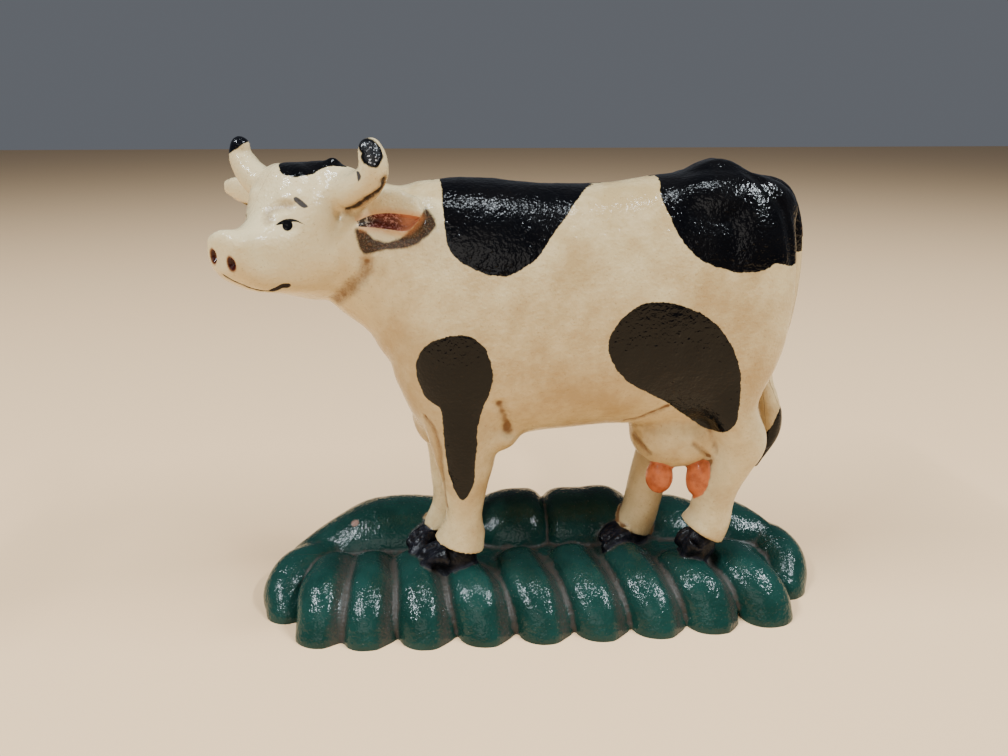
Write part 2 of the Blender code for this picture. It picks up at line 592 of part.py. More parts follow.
def stand_on_origin():
    """Moves every piece so that the origin is on the table under the middle."""
    pieces = list(bpy.context.scene.objects)
    points = [v.co for piece in pieces for v in piece.data.vertices]
    low = Vector([min(p[i] for p in points) for i in range(3)])
    high = Vector([max(p[i] for p in points) for i in range(3)])
    shift = Vector((-(low.x + high.x) / 2, -(low.y + high.y) / 2, -low.z))
    for piece in pieces:
        piece.data.transform(Matrix.Translation(shift))
    print("moved by", [round(s / MM, 2) for s in shift], "mm")
    print("size", [round(s / MM, 1) for s in high - low], "mm")


clear_scene()
PAINT = material("painted_cast_iron", (0.70, 0.63, 0.48), 0.38)
STEEL = material("blackened_steel_screw", (0.10, 0.10, 0.10), 0.45, 0.8)

teats = [ball("teat", place, size) for place, size in TEATS]
skin = join("cow_and_base", body_forms() + head_forms() + leg_forms() + tail_form() + teats + base_forms())
fuse(skin)
for near_side in (True, False):
    build_casting(skin, near_side)
bpy.data.objects.remove(skin, do_unlink=True)
for screw_name, (screw_x, screw_z) in SCREW_PLACES.items():
    build_screw(screw_name, screw_x, screw_z)
stand_on_origin()
for part in bpy.context.scene.objects:
    part.data.shade_smooth()
    part.data.set_sharp_from_angle(angle=math.radians(35.0))
    print(part.name, len(part.data.polygons), "faces")
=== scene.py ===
# %% [markdown]
# # A cast iron cow, painted by hand
# The real thing is a doorstop: a standing cow on a scalloped mound, cast in
# sand as two hollow halves, screwed together and painted. This lesson models
# its skin far more finely than the plain solids that carry it, then paints it
# in layers: cream with a thin brown wash and painted shade that stay in its
# hollows, green ground, black patches and hooves, and last the face and the wear.

# %% Load the plain solids
import math

import bmesh
import bpy
import numpy as np
from mathutils import Matrix, Vector
from mathutils.bvhtree import BVHTree


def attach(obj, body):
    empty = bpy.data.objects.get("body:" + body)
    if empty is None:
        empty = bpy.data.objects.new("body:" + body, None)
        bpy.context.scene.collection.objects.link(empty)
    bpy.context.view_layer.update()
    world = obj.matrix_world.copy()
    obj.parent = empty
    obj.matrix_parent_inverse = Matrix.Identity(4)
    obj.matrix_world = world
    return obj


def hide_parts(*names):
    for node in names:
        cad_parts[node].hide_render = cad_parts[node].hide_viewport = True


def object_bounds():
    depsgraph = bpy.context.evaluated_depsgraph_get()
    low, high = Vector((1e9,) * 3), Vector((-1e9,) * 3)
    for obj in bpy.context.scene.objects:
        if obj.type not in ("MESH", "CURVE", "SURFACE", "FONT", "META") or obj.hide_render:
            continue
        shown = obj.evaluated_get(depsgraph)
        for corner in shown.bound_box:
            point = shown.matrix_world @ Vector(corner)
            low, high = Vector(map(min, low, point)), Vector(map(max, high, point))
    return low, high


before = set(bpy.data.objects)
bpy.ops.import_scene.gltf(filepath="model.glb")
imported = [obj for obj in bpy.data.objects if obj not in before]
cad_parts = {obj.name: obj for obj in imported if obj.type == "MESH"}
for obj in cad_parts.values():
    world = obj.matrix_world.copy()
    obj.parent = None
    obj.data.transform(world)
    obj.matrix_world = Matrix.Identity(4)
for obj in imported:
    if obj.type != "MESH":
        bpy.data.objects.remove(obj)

cad_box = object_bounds()
cad_low, cad_high = Vector(cad_box[0]), Vector(cad_box[1])
print("the solids span", [round(s * 1000, 1) for s in cad_high - cad_low], "mm")

# %% [markdown]
# ## Drawing in millimetres
# The cow is drawn in millimetres, nose towards -X, painted side towards -Y.
# One helper turns points and faces into a mesh object. Another runs a smooth
# Catmull-Rom curve through a few rows of numbers, so that a limb or a lobe
# needs only as many rows as its shape has turns.

# %% Points, faces and smooth rows
MM = 0.001


def add_object(name, data):
    obj = bpy.data.objects.new(name, data)
    bpy.context.scene.collection.objects.link(obj)
    return obj


def object_from(work, name):
    """Turns a working mesh into an object, and frees it."""
    mesh = bpy.data.meshes.new(name)
    work.to_mesh(mesh)
    work.free()
    return add_object(name, mesh)


def mesh_object(name, points, faces):
    """Makes an object from points in millimetres, with its faces pointing out."""
    mesh = bpy.data.meshes.new(name)
    mesh.from_pydata([Vector(p) * MM for p in points], [], faces)
    work = bmesh.new()
    work.from_mesh(mesh)
    bmesh.ops.recalc_face_normals(work, faces=work.faces)
    work.to_mesh(mesh)
    work.free()
    return add_object(name, mesh)


def curve_point(a, b, c, d, t):
    """The point at share t of the way from b to c on a smooth curve."""
    return 0.5 * (2 * b + (c - a) * t + (2 * a - 5 * b + 4 * c - d) * t * t
                  + (3 * b - a - 3 * c + d) * t * t * t)


def smooth_rows(rows, steps):
    rows = [Vector(r) for r in rows]
    last = len(rows) - 1
    out = []
    for i in range(last):
        around = rows[max(i - 1, 0)], rows[i], rows[i + 1], rows[min(i + 2, last)]
        out += [curve_point(*around, k / steps) for k in range(steps)]
    return out + [rows[-1]]


# %% [markdown]
# ## Sweeps and balls
# A clay modeller builds a cow from rolls and balls of clay. A sweep is a roll:
# rings of a given width and height, set across a path. Raising the ring's
# sine and cosine to a power below one makes it fuller at the corners, which
# suits a barrel of a body better than a plain ellipse.

# %% Rolls and balls of clay
def sweep(name, rows, side=(0.0, 1.0, 0.0), along=None, corners=32, steps=5, square=2.0):
    """A row is x, y, z, half the width along side, half the height across it."""
    rows = smooth_rows(rows, steps)
    side = Vector(side)
    points = []
    for i, row in enumerate(rows):
        ahead = Vector(rows[min(i + 1, len(rows) - 1)][:3])
        behind = Vector(rows[max(i - 1, 0)][:3])
        way = Vector(along) if along else (ahead - behind).normalized()
        across = (side - way * side.dot(way)).normalized()
        rise = way.cross(across)
        for k in range(corners):
            turn = 2 * math.pi * k / corners
            c, s = math.cos(turn), math.sin(turn)
            wide = math.copysign(abs(c) ** (2 / square), c) * row[3]
            high = math.copysign(abs(s) ** (2 / square), s) * row[4]
            points.append(Vector(row[:3]) + across * wide + rise * high)
    faces = []
    for i in range(len(rows) - 1):
        for k in range(corners):
            a, b = i * corners + k, i * corners + (k + 1) % corners
            faces.append((a, b, b + corners, a + corners))
    faces.append(tuple(range(corners)))
    faces.append(tuple(range(len(points) - corners, len(points))))
    return mesh_object(name, points, faces)


def ball(name, centre, radii, turn=0.0, lean=0.0):
    """An ellipsoid, leant about Y and then turned about Z."""
    work = bmesh.new()
    bmesh.ops.create_uvsphere(work, u_segments=32, v_segments=20, radius=1.0)
    spin = Matrix.Rotation(turn, 3, "Z") @ Matrix.Rotation(lean, 3, "Y")
    for v in work.verts:
        v.co = (spin @ Vector([v.co[i] * radii[i] for i in range(3)]) + Vector(centre)) * MM
    return object_from(work, name)


# %% [markdown]
# ## The barrel and the neck
# The body is one roll with upright rings, so that each row simply says where
# the back and the belly are. The neck is a second roll that leaves the
# shoulders and bends towards the head. Balls under the skin stand for the
# muscles: shoulder, haunch and hip. They only show as soft swellings, because
# the skin is smoothed after everything is fused.

# %% Body of the cow
def torso_rows(inset=0.0):
    ribs = [(81.5, 130.0, 106.0, 6.5), (79.5, 142.0, 98.0, 14.0), (77.0, 149.5, 90.0, 18.0),
            (72.0, 153.0, 80.0, 21.5), (66.0, 155.5, 72.0, 24.0), (52.0, 156.5, 68.0, 26.0),
            (36.0, 155.0, 68.5, 26.0),
            (18.0, 152.5, 69.0, 27.0), (0.0, 152.5, 67.5, 27.5), (-18.0, 154.0, 65.0, 27.0),
            (-34.0, 154.5, 64.0, 25.5), (-45.0, 151.5, 70.0, 22.0), (-53.0, 146.0, 88.0, 17.0)]
    return [(x, 0.0, (top + low) / 2, half - inset, (top - low) / 2 - inset)
            for x, top, low, half in ribs if inset == 0.0 or -50.0 < x < 85.0]


def neck_rows(inset=0.0):
    rows = [(-24.0, 0.0, 114.0, 25.0, 38.0), (-44.0, 0.0, 125.5, 22.5, 30.5),
            (-56.0, -1.0, 130.5, 19.5, 24.0), (-65.0, -3.0, 135.5, 17.0, 20.5),
            (-73.0, -6.0, 139.0, 16.0, 18.0)]
    return [(x, y, z, wide - inset, high - inset) for x, y, z, wide, high in rows
            if inset == 0.0 or x > -60.0]


# The ridge of bone from the top of the croup down the back of each haunch: x,
# distance from the middle, height and radius.
PIN_BONE = [(46.0, 2.0, 150.5, 6.0), (54.0, 3.0, 154.4, 6.0), (61.0, 7.0, 151.2, 5.6),
            (67.0, 12.0, 146.6, 5.5), (71.5, 14.0, 139.0, 5.5), (73.5, 14.5, 127.0, 5.5),
            (74.0, 14.5, 114.0, 5.0)]


def body_forms():
    forms = [sweep("barrel", torso_rows(), along=(-1.0, 0.0, 0.0), square=2.3),
             sweep("neck", neck_rows(), square=2.15)]
    for y in (-1, 1):
        forms.append(ball("hip", (56.0, y * 9.0, 144.5), (24.0, 11.0, 12.5)))
        forms.append(ball("shoulder", (-28.0, y * 14.0, 105.0), (20.0, 13.0, 34.0), lean=0.15))
    forms.append(ball("haunch_near", (61.0, -14.0, 112.0), (18.5, 12.5, 40.0), lean=0.06))
    forms.append(ball("haunch_far", (58.0, 14.0, 112.0), (18.5, 12.5, 40.0), lean=0.16))
    for y in (-1, 1):
        pin = [(x, y * out, z, r, r) for x, out, z, r in PIN_BONE]
        forms.append(sweep("pin_bone", pin))
    forms.append(ball("brisket", (-37.5, 3.0, 71.0), (10.8, 12.0, 12.0)))
    forms.append(ball("elbow", (-18.0, -12.0, 70.0), (8.0, 7.0, 6.6)))
    forms.append(ball("udder", (47.5, -3.5, 65.5), (17.5, 13.0, 14.2)))
    forms.append(ball("udder_root", (58.5, -8.0, 61.0), (7.0, 6.0, 7.0)))
    return forms


# %% [markdown]
# ## The turned head
# The head looks towards the viewer, so it has a small frame of its own: ahead
# of the poll, left of it and height above the table. Everything on the head
# is drawn in that frame. The two horns differ, as do the two ears, and each
# is measured outwards from the middle, so both hands read the same way.

# %% Head, horns and ears
HEAD_TURN = math.radians(56.0)
POLL = Vector((-78.0, -6.0, 0.0))
FORWARD = Vector((-math.cos(HEAD_TURN), -math.sin(HEAD_TURN), 0.0))
LEFT = Vector((math.sin(HEAD_TURN), -math.cos(HEAD_TURN), 0.0))


def head_point(ahead, left, height):
    return POLL + FORWARD * ahead + LEFT * left + Vector((0.0, 0.0, height))


def head_rows():
    cuts = [(-12.0, 0.0, 151.0, 121.0, 11.0), (-6.0, 0.0, 157.0, 116.8, 14.5),
            (0.0, 0.0, 159.6, 116.6, 16.6), (5.5, 0.2, 160.0, 118.3, 17.0),
            (9.5, 0.6, 158.6, 119.8, 15.9), (13.0, 1.1, 154.6, 121.0, 13.8),
            (16.0, 1.4, 150.2, 121.9, 11.9), (19.0, 1.6, 146.8, 122.8, 10.2),
            (23.0, 1.0, 144.2, 123.8, 9.0), (27.0, 0.4, 143.1, 125.4, 8.3),
            (31.0, 0.0, 143.4, 127.8, 7.8), (33.2, 0.0, 143.4, 129.9, 6.9),
            (34.7, 0.0, 141.2, 132.4, 5.0)]
    return [(*head_point(ahead, left, (top + low) / 2), half, (top - low) / 2)
            for ahead, left, top, low, half in cuts]


# Ahead, out from the middle, height and radius of each horn, root first.
HORN_PATHS = {
    1: [(1.0, 8.0, 151.5, 4.4), (1.0, 14.0, 151.6, 5.0), (1.0, 20.5, 152.2, 5.2), (1.0, 26.0, 154.6, 4.9),
        (1.0, 29.1, 158.2, 4.5), (1.0, 29.1, 161.5, 4.3), (1.1, 28.3, 164.2, 3.8)],
    -1: [(1.0, 8.0, 151.0, 4.6), (1.0, 13.0, 151.6, 5.4), (1.0, 17.8, 153.2, 5.3), (1.0, 21.9, 156.0, 4.8),
         (1.0, 24.4, 159.4, 4.2), (1.0, 25.2, 161.8, 3.5), (1.1, 24.6, 164.0, 3.1)],
}
# Ahead, out, height, half thickness and half width of an ear, root first.
EAR_PATHS = {
    1: [(-3.0, 12.0, 145.0, 3.2, 4.5), (-5.0, 17.0, 144.4, 3.4, 6.6), (-6.4, 23.0, 144.3, 3.4, 8.0),
        (-7.4, 29.0, 144.6, 3.2, 8.2), (-8.2, 34.5, 145.8, 2.6, 6.8), (-8.7, 38.8, 147.8, 1.7, 3.2)],
    -1: [(-3.0, 12.0, 145.0, 3.2, 4.2), (-4.2, 18.0, 145.6, 3.3, 5.2), (-4.8, 25.0, 147.2, 3.2, 5.4),
         (-5.0, 31.0, 148.8, 3.0, 4.7), (-5.2, 36.5, 149.7, 2.5, 3.8), (-5.4, 41.0, 149.8, 1.7, 2.3)],
}


def horn_rows(hand):
    return [(*head_point(ahead, hand * out, high), r, r) for ahead, out, high, r in HORN_PATHS[hand]]


def ear_rows(hand):
    return [(*head_point(ahead, hand * out, high), thick, tall)
            for ahead, out, high, thick, tall in EAR_PATHS[hand]]


def head_forms():
    poll = [(-1.0, -13.0, 154.6, 5.0, 4.4), (0.0, 0.0, 155.4, 5.0, 4.6), (-0.5, 11.0, 155.8, 4.8, 4.6),
            (-0.5, 20.0, 154.0, 4.5, 4.4)]
    forms = [sweep("skull", head_rows(), side=LEFT, along=FORWARD, square=2.4),
             sweep("poll", [(*head_point(*row[:3]), *row[3:]) for row in poll], side=FORWARD),
             ball("poll_bump", head_point(-1.0, 12.0, 160.2), (2.2, 1.8, 1.6))]
    for hand in (1, -1):
        rows = horn_rows(hand)
        forms.append(sweep("horn", rows, side=FORWARD, corners=24))
        forms.append(ball("horn_tip", rows[-1][:3], (rows[-1][3] * 0.96,) * 3))
        forms.append(sweep("ear", ear_rows(hand), side=FORWARD, corners=24))
    return forms


# %% [markdown]
# ## Legs, hooves and tail
# Each leg is a roll that narrows to the shin and flares into a cuff, the bell
# of hair above the hoof. The cuff ends in a sharp rim. Out of it comes the
# hoof: a black root and two toes that point ahead and down on to the mound.

# %% Legs with their hooves
LEGS = {
    "near_front": [(-31.0, -13.0, 88.0, 11.5, 15.5), (-30.0, -12.5, 72.0, 10.5, 13.0),
                   (-29.5, -12.0, 60.0, 8.8, 10.5), (-29.8, -11.5, 50.0, 7.6, 8.2),
                   (-30.2, -11.0, 38.0, 6.9, 6.6), (-30.8, -11.0, 31.0, 7.8, 8.2),
                   (-32.2, -11.5, 26.0, 8.6, 9.5)],
    "far_front": [(-33.0, 12.0, 88.0, 11.0, 14.0), (-35.0, 11.5, 68.0, 9.5, 11.0),
                  (-36.0, 10.8, 54.0, 7.8, 7.4), (-36.2, 9.8, 45.0, 6.8, 6.5),
                  (-35.6, 8.8, 37.0, 6.4, 6.3), (-36.0, 7.8, 30.0, 6.4, 6.6),
                  (-38.3, 7.0, 22.4, 6.6, 7.7)],
    "near_rear": [(62.0, -13.5, 96.0, 11.0, 15.5), (62.0, -13.5, 80.0, 10.0, 10.0),
                  (65.3, -13.5, 72.0, 9.2, 8.7), (68.0, -13.0, 64.5, 8.8, 9.2),
                  (65.8, -12.5, 56.0, 7.6, 7.6), (62.6, -12.0, 47.0, 7.0, 7.0),
                  (60.8, -11.8, 40.0, 7.2, 7.4), (60.0, -11.8, 33.6, 7.8, 7.8),
                  (57.4, -12.0, 28.4, 8.2, 8.8)],
    "far_rear": [(54.0, 12.0, 92.0, 11.0, 16.0), (52.0, 12.0, 74.0, 10.0, 12.5),
                 (48.7, 11.4, 60.0, 8.4, 9.4), (44.8, 10.4, 50.0, 7.4, 8.0),
                 (42.2, 9.4, 41.0, 6.9, 7.6), (40.6, 8.4, 33.0, 6.6, 7.2),
                 (38.9, 7.6, 25.0, 6.6, 7.1), (36.3, 7.0, 18.6, 6.6, 7.5)],
}
# A hoof's root is an egg that stands in the mound and fills the cuff; two toes
# run from it to the tips given last.
HOOVES = {
    "near_front": ((-33.5, -10.0, 18.5), (7.8, 6.2, 8.6), [(-46.2, -7.0, 18.8), (-44.4, -12.2, 17.8)]),
    "far_front": ((-40.2, 6.0, 16.5), (6.4, 5.8, 8.0), [(-50.6, -0.5, 20.0), (-49.0, -4.2, 18.4)]),
    "near_rear": ((57.0, -10.5, 20.5), (6.8, 6.0, 8.6), [(50.4, -9.2, 21.8), (52.0, -14.0, 19.2)]),
    "far_rear": ((35.0, 6.0, 14.5), (6.6, 5.8, 7.5), [(23.2, -0.5, 18.8), (23.6, -4.4, 17.2)]),
}
TOE_RADIUS = 3.0
TOE_TIP_RADIUS = 2.0
TOE_SPREAD = 2.6


def toe_rows(root, tip, k):
    """A toe from inside the cuff to its tip; the two toes of a hoof lie side by side."""
    tip = Vector(tip)
    start = Vector(root) + Vector((-2.0, TOE_SPREAD * (1 - 2 * k) - 2.0, 4.0))
    middle = start.lerp(tip, 0.6) + Vector((0.0, 0.0, 1.0))
    return [(*start, 3.4, 3.6), (*middle, TOE_RADIUS, TOE_RADIUS), (*tip, TOE_TIP_RADIUS, TOE_TIP_RADIUS)]


def hoof_forms():
    forms = []
    for root, size, tips in HOOVES.values():
        forms.append(ball("hoof_root", root, size))
        for k, tip in enumerate(tips):
            forms.append(sweep("toe", toe_rows(root, tip, k), corners=20, steps=4))
            forms.append(ball("toe_tip", tip, (TOE_TIP_RADIUS,) * 3))
    return forms


# The tail from the croup to the end of its brush: x, y, height and radius.
TAIL_PATH = [(60.0, 1.0, 151.5, 5.0), (70.0, 1.5, 150.2, 4.6), (75.5, 2.2, 149.3, 4.5),
             (79.3, 2.6, 146.2, 4.4), (82.2, 3.0, 140.5, 4.3), (84.2, 3.0, 132.0, 4.3),
             (84.8, 3.0, 121.0, 4.3), (84.5, 3.0, 109.0, 4.2), (83.2, 3.0, 98.0, 3.9),
             (80.7, 3.0, 89.0, 3.6), (80.6, 3.0, 81.5, 3.6), (83.4, 3.0, 73.0, 4.0),
             (85.2, 2.5, 67.0, 4.2), (85.7, 2.2, 61.0, 3.3), (84.7, 2.0, 56.0, 2.5),
             (83.0, 1.8, 52.0, 1.9), (80.6, 1.5, 46.2, 1.3)]


def tail_form():
    return [sweep("tail", [(x, y, z, r, r) for x, y, z, r in TAIL_PATH], corners=20)]


# Where each teat hangs and its half sizes
TEATS = (((41.0, -9.0, 49.2), (5.0, 4.6, 6.6)), ((55.3, -10.8, 49.2), (5.0, 4.8, 7.6)),
         ((46.0, 3.0, 51.0), (4.4, 4.2, 6.5)), ((58.0, 3.0, 51.0), (4.4, 4.2, 6.5)))


def limb_forms():
    forms = [sweep(name, rows, corners=28, steps=4) for name, rows in LEGS.items()]
    for place, size in TEATS:
        forms.append(ball("teat", place, size))
    return forms + hoof_forms() + tail_form()


# %% [markdown]
# ## The scalloped mound
# The ground under the cow is a mound of fat lobes, like fingers laid side by
# side. Each front lobe is an arch that rises from the rim of the base to a
# crown near the cow's feet. Behind, broader humps make the horizon that is
# seen between the legs.

# %% Base with its lobes
BASE_DEPTH = 76.0
LOBES = 9
LOBE_STEP = 20.3
FIRST_LOBE = -83.5
BACK_LOBES = 7
BACK_LOBE_STEP = 26.0
FIRST_BACK_LOBE = -78.0


def roll(name, rows, side=(1.0, 0.0, 0.0)):
    """A sweep with a ball at both ends; the balls take the ends' radii."""
    forms = [sweep(name, rows, side=side, corners=28)]
    for x, y, z, wide, high in (rows[0], rows[-1]):
        forms.append(ball(name, (x, y, z), (wide, high, high)))
    return forms


# How far each front lobe's foot strays from even spacing, and how far its crown stays back.
FOOT_STRAY = (2.6, -1.2, -1.2, -0.8, 0.0, 0.0, 0.0, 0.0, 0.6)
CROWN_BACK = (0.0, 0.0, 0.0, 7.5, 1.0, 0.0, 0.5, 6.0, 1.5)


def front_lobe(i):
    """One front lobe, from its foot on the table to its crown, counted from the left."""
    x = FIRST_LOBE + LOBE_STEP * i
    foot_x = x + FOOT_STRAY[i]
    foot_y = -30.4 + 3.4 * abs(2 * i / (LOBES - 1) - 1) ** 4
    lean = 13.0 * max(0.0, 1 - i / 3) ** 2 - 7.5
    crown_y = -5.5 - CROWN_BACK[i]
    return [(foot_x, foot_y, 0.0, 9.8, 7.2), (foot_x + 0.15 * lean, foot_y + 4.0, 5.0, 10.2, 8.2),
            (x + 0.55 * lean, (foot_y + crown_y) / 2, 9.4, 10.3, 8.4), (x + lean, crown_y, 11.0, 9.8, 7.8)]


# The crest of the back of the mound: x, y, z, half depth, half height.
BACK_HUMPS = (
    [(-97.0, 7.5, 5.2, 8.5, 8.0), (-88.0, 13.0, 6.8, 12.5, 10.5), (-79.0, 16.5, 8.6, 15.5, 13.0),
     (-70.0, 18.5, 10.4, 17.0, 15.0), (-59.0, 19.0, 11.3, 17.5, 16.0), (-46.0, 19.0, 11.3, 17.5, 15.5),
     (-36.0, 18.5, 11.0, 16.0, 14.5), (-27.0, 18.0, 8.5, 13.0, 12.5)],
    [(-29.0, 18.5, 8.5, 13.0, 12.5), (-19.0, 19.0, 10.9, 17.0, 16.0), (-9.0, 19.0, 11.6, 18.0, 17.2),
     (-1.0, 19.0, 11.3, 17.5, 16.5), (5.0, 18.5, 7.5, 13.0, 13.5)],
    [(0.0, 18.5, 7.5, 13.0, 13.5), (6.0, 19.0, 11.4, 17.5, 16.0), (18.0, 19.0, 11.9, 18.0, 16.5),
     (30.0, 19.0, 11.9, 17.5, 16.5), (41.0, 18.5, 8.0, 13.5, 13.0)],
    [(37.0, 18.5, 7.5, 13.0, 12.5), (46.0, 18.5, 8.6, 16.0, 14.5), (57.0, 18.5, 8.6, 16.5, 14.8),
     (69.0, 18.5, 7.0, 13.5, 12.5)],
    [(64.0, 18.5, 7.0, 12.5, 12.0), (74.0, 18.0, 9.6, 16.0, 13.8), (83.0, 15.5, 9.0, 14.0, 12.5),
     (91.0, 11.0, 7.4, 10.5, 11.0), (96.0, 4.0, 4.8, 8.5, 9.5)],
)
# The lobe at each end wraps round from the crest to the front rim.
END_LOBES = (
    [(-82.0, 8.0, 8.0, 9.0, 9.5), (-92.0, 2.0, 6.5, 10.0, 10.5), (-97.0, -5.0, 3.5, 9.5, 9.0),
     (-95.5, -12.0, 0.0, 8.5, 8.0)],
    [(86.0, 13.0, 8.0, 9.0, 9.0), (93.5, 5.0, 6.5, 10.0, 10.5), (95.0, -3.0, 3.5, 10.0, 9.5),
     (92.0, -10.5, 0.0, 9.0, 8.5)],
)


def base_forms():
    rows = [(-1.0, 0.5, -4.0, 32.0, 97.0), (-1.0, 0.5, 4.0, 31.0, 96.0), (-1.0, 1.0, 9.0, 27.0, 91.0),
            (-1.0, 2.0, 12.5, 20.0, 82.0), (-1.0, 3.0, 14.5, 11.0, 68.0)]
    forms = [sweep("mound", rows, along=(0.0, 0.0, 1.0), corners=64, steps=3, square=2.3)]
    for i in range(LOBES):
        forms += roll("lobe", front_lobe(i))
    for rows in BACK_HUMPS:
        forms.append(sweep("hump", rows, along=(1.0, 0.0, 0.0), corners=36))
    for rows in END_LOBES:
        forms += roll("end_lobe", rows, side=(0.0, 0.0, 1.0))
    for i in range(BACK_LOBES):
        x = FIRST_BACK_LOBE + BACK_LOBE_STEP * i
        out = BASE_DEPTH / 2 - 11.0 - 4.0 * abs(i / 3 - 1) ** 3
        forms += roll("back_lobe", [(x, out, 0.0, 12.5, 10.5), (x * 0.98, out - 3.0, 6.0, 12.5, 9.5),
                                    (x * 0.96, out - 9.0, 10.0, 11.0, 8.0)])
    return forms


# %% [markdown]
# ## One skin
# A voxel remesh melts the loose forms into one even skin, as wet clay joins.
# Where forms close in on a gap, it also leaves small shells inside the skin,
# so only the largest shell is kept.

# %% Fuse the forms
FINE_VOXEL = 0.6
VOXEL = FINE_VOXEL
# A coarser skin needs fewer rounds of averaging to reach as far.
REACH = (FINE_VOXEL / VOXEL) ** 2


def join(name, objects):
    work = bmesh.new()
    for obj in objects:
        work.from_mesh(obj.data)
        bpy.data.objects.remove(obj, do_unlink=True)
    return object_from(work, name)


def bake(obj):
    seen = bpy.context.evaluated_depsgraph_get()
    mesh = bpy.data.meshes.new_from_object(obj.evaluated_get(seen))
    obj.modifiers.clear()
    obj.data = mesh
    return obj


def keep_outer_shell(obj):
    """Drops the small closed shells that a fused skin can hold inside it."""
    work = bmesh.new()
    work.from_mesh(obj.data)
    loose = set(work.verts)
    shells = []
    while loose:
        shell = {loose.pop()}
        rim = list(shell)
        while rim:
            for edge in rim.pop().link_edges:
                for there in edge.verts:
                    if there not in shell:
                        shell.add(there)
                        rim.append(there)
        loose -= shell
        shells.append(shell)
    shells.sort(key=len)
    for shell in shells[:-1]:
        bmesh.ops.delete(work, geom=list(shell), context="VERTS")
    work.to_mesh(obj.data)
    work.free()


skin = join("cow_and_base", body_forms() + head_forms() + limb_forms() + base_forms())
melt = skin.modifiers.new("melt", "REMESH")
melt.mode = "VOXEL"
melt.voxel_size = VOXEL * MM
bake(skin)
keep_outer_shell(skin)
print("the skin has", len(skin.data.vertices), "points")

# %% [markdown]
# ## Working on the skin as arrays
# From here the skin is treated like clay under a thumb: every stroke moves
# points along their normals, more at its middle and not at all at its edge.
# NumPy moves all points at once. The helpers below read the points, average
# each with its neighbours, and measure distances to a path or an outline.

# %% Arrays, neighbours and distances
def read_rows(items, key, width, kind=np.float32):
    """Reads the same property, width numbers long, from every item."""
    flat = np.empty(len(items) * width, kind)
    items.foreach_get(key, flat)
    return flat.reshape(-1, width)


def read_points(mesh):
    return read_rows(mesh.vertices, "co", 3).astype(float) / MM


def write_points(mesh, points):
    mesh.vertices.foreach_set("co", (points * MM).astype(np.float32).ravel())
    mesh.update()


def read_normals(mesh):
    return read_rows(mesh.vertex_normals, "vector", 3).astype(float)


def read_edges(mesh):
    return read_rows(mesh.edges, "vertices", 2, np.int32)


def neighbour_mean(values, edges):
    """Each point's mean over the points that it shares an edge with."""
    count = len(values)
    ends = np.concatenate([edges[:, 0], edges[:, 1]])
    others = np.concatenate([edges[:, 1], edges[:, 0]])
    number = np.maximum(np.bincount(ends, minlength=count), 1)
    if values.ndim == 1:
        return np.bincount(ends, values[others], count) / number
    return np.stack([np.bincount(ends, values[others, k], count) / number for k in range(3)], 1)


def ease(low, high, value):
    """Runs smoothly from 0 at low to 1 at high."""
    t = np.clip((value - low) / (high - low), 0.0, 1.0)
    return t * t * (3 - 2 * t)


def to_head(points):
    """Ahead, left and height of every point in the head's own frame."""
    flat = points - np.array(POLL)
    return flat @ np.array(FORWARD), flat @ np.array(LEFT), points[:, 2]


def distance_to_path(points, path):
    """The distance of every point to a line of straight runs."""
    path = np.array([tuple(p) for p in path], float)
    best = np.full(len(points), 1e9)
    for a, b in zip(path[:-1], path[1:]):
        run = b - a
        share = np.clip((points - a) @ run / max(run @ run, 1e-9), 0.0, 1.0)
        best = np.minimum(best, np.linalg.norm(points - a - share[:, None] * run, axis=1))
    return best


def oval_reach(at, centre, radii):
    """Each point's distance to a centre, as a share of an oval's radii."""
    return np.linalg.norm((at - np.array(tuple(centre))) / np.array(radii), axis=1)


def teat_reach(at):
    return np.min([oval_reach(at, place, size) for place, size in TEATS], axis=0)


def head_share(points):
    """1 on the head, its horns and its ears, and 0 on the rest of the cow."""
    ahead, left, height = to_head(points)
    skull = ease(-9.0, -5.0, ahead) * ease(24.0, 20.0, np.abs(left)) * ease(112.0, 118.0, height)
    for hand in (1, -1):
        for rows in (horn_rows(hand), ear_rows(hand)):
            skull = np.maximum(skull, ease(9.5, 7.5, distance_to_path(points, [r[:3] for r in rows[1:]])))
    return skull


# %% [markdown]
# ## Soft here, crisp there
# Averaging each point with its neighbours rounds the joints as a sand mould
# would. The body takes many rounds, so that muscles flow into each other. The
# legs take fewer, and the horns, ears, hooves and lobes fewest, because
# smoothing also shrinks what is thin.

# %% Smooth by region
LEG_SOFTNESS = 0.35
LEAST_SOFTNESS = 0.06
points = read_points(skin.data)
edges = read_edges(skin.data)
ahead, left, height = to_head(points)
on_head = head_share(points)
thin = ease(13.5, 18.5, np.abs(left)) * on_head
softness = ease(48.0, 70.0, height) * (1.0 - thin)
tail = distance_to_path(points, [row[:3] for row in TAIL_PATH])
softness *= ease(5.0, 9.0, tail)
softness = np.maximum(softness, LEG_SOFTNESS * ease(28.0, 40.0, height) * (1.0 - thin))
softness *= 1.0 - 0.75 * on_head
softness *= ease(1.1, 1.8, teat_reach(points))
horn_root = np.linalg.norm(points - np.array(tuple(head_point(4.0, 13.0, 153.5))), axis=1)
softness = np.maximum(softness, 0.6 * ease(10.0, 6.0, horn_root))
softness = np.maximum(softness, LEAST_SOFTNESS)
ROUNDS = int(60 * REACH)
HALFWAY = 0.5
for k in range(ROUNDS):
    share = (softness * ROUNDS > k)[:, None] * HALFWAY
    points += (neighbour_mean(points, edges) - points) * share
write_points(skin.data, points)
print("smoothed in", ROUNDS, "rounds")

# %% [markdown]
# ## Finer skin on the head
# The eye's lid and the line of the mouth are thinner than the skin's squares.
# Only the head is divided once more, so the rest of the skin stays light.

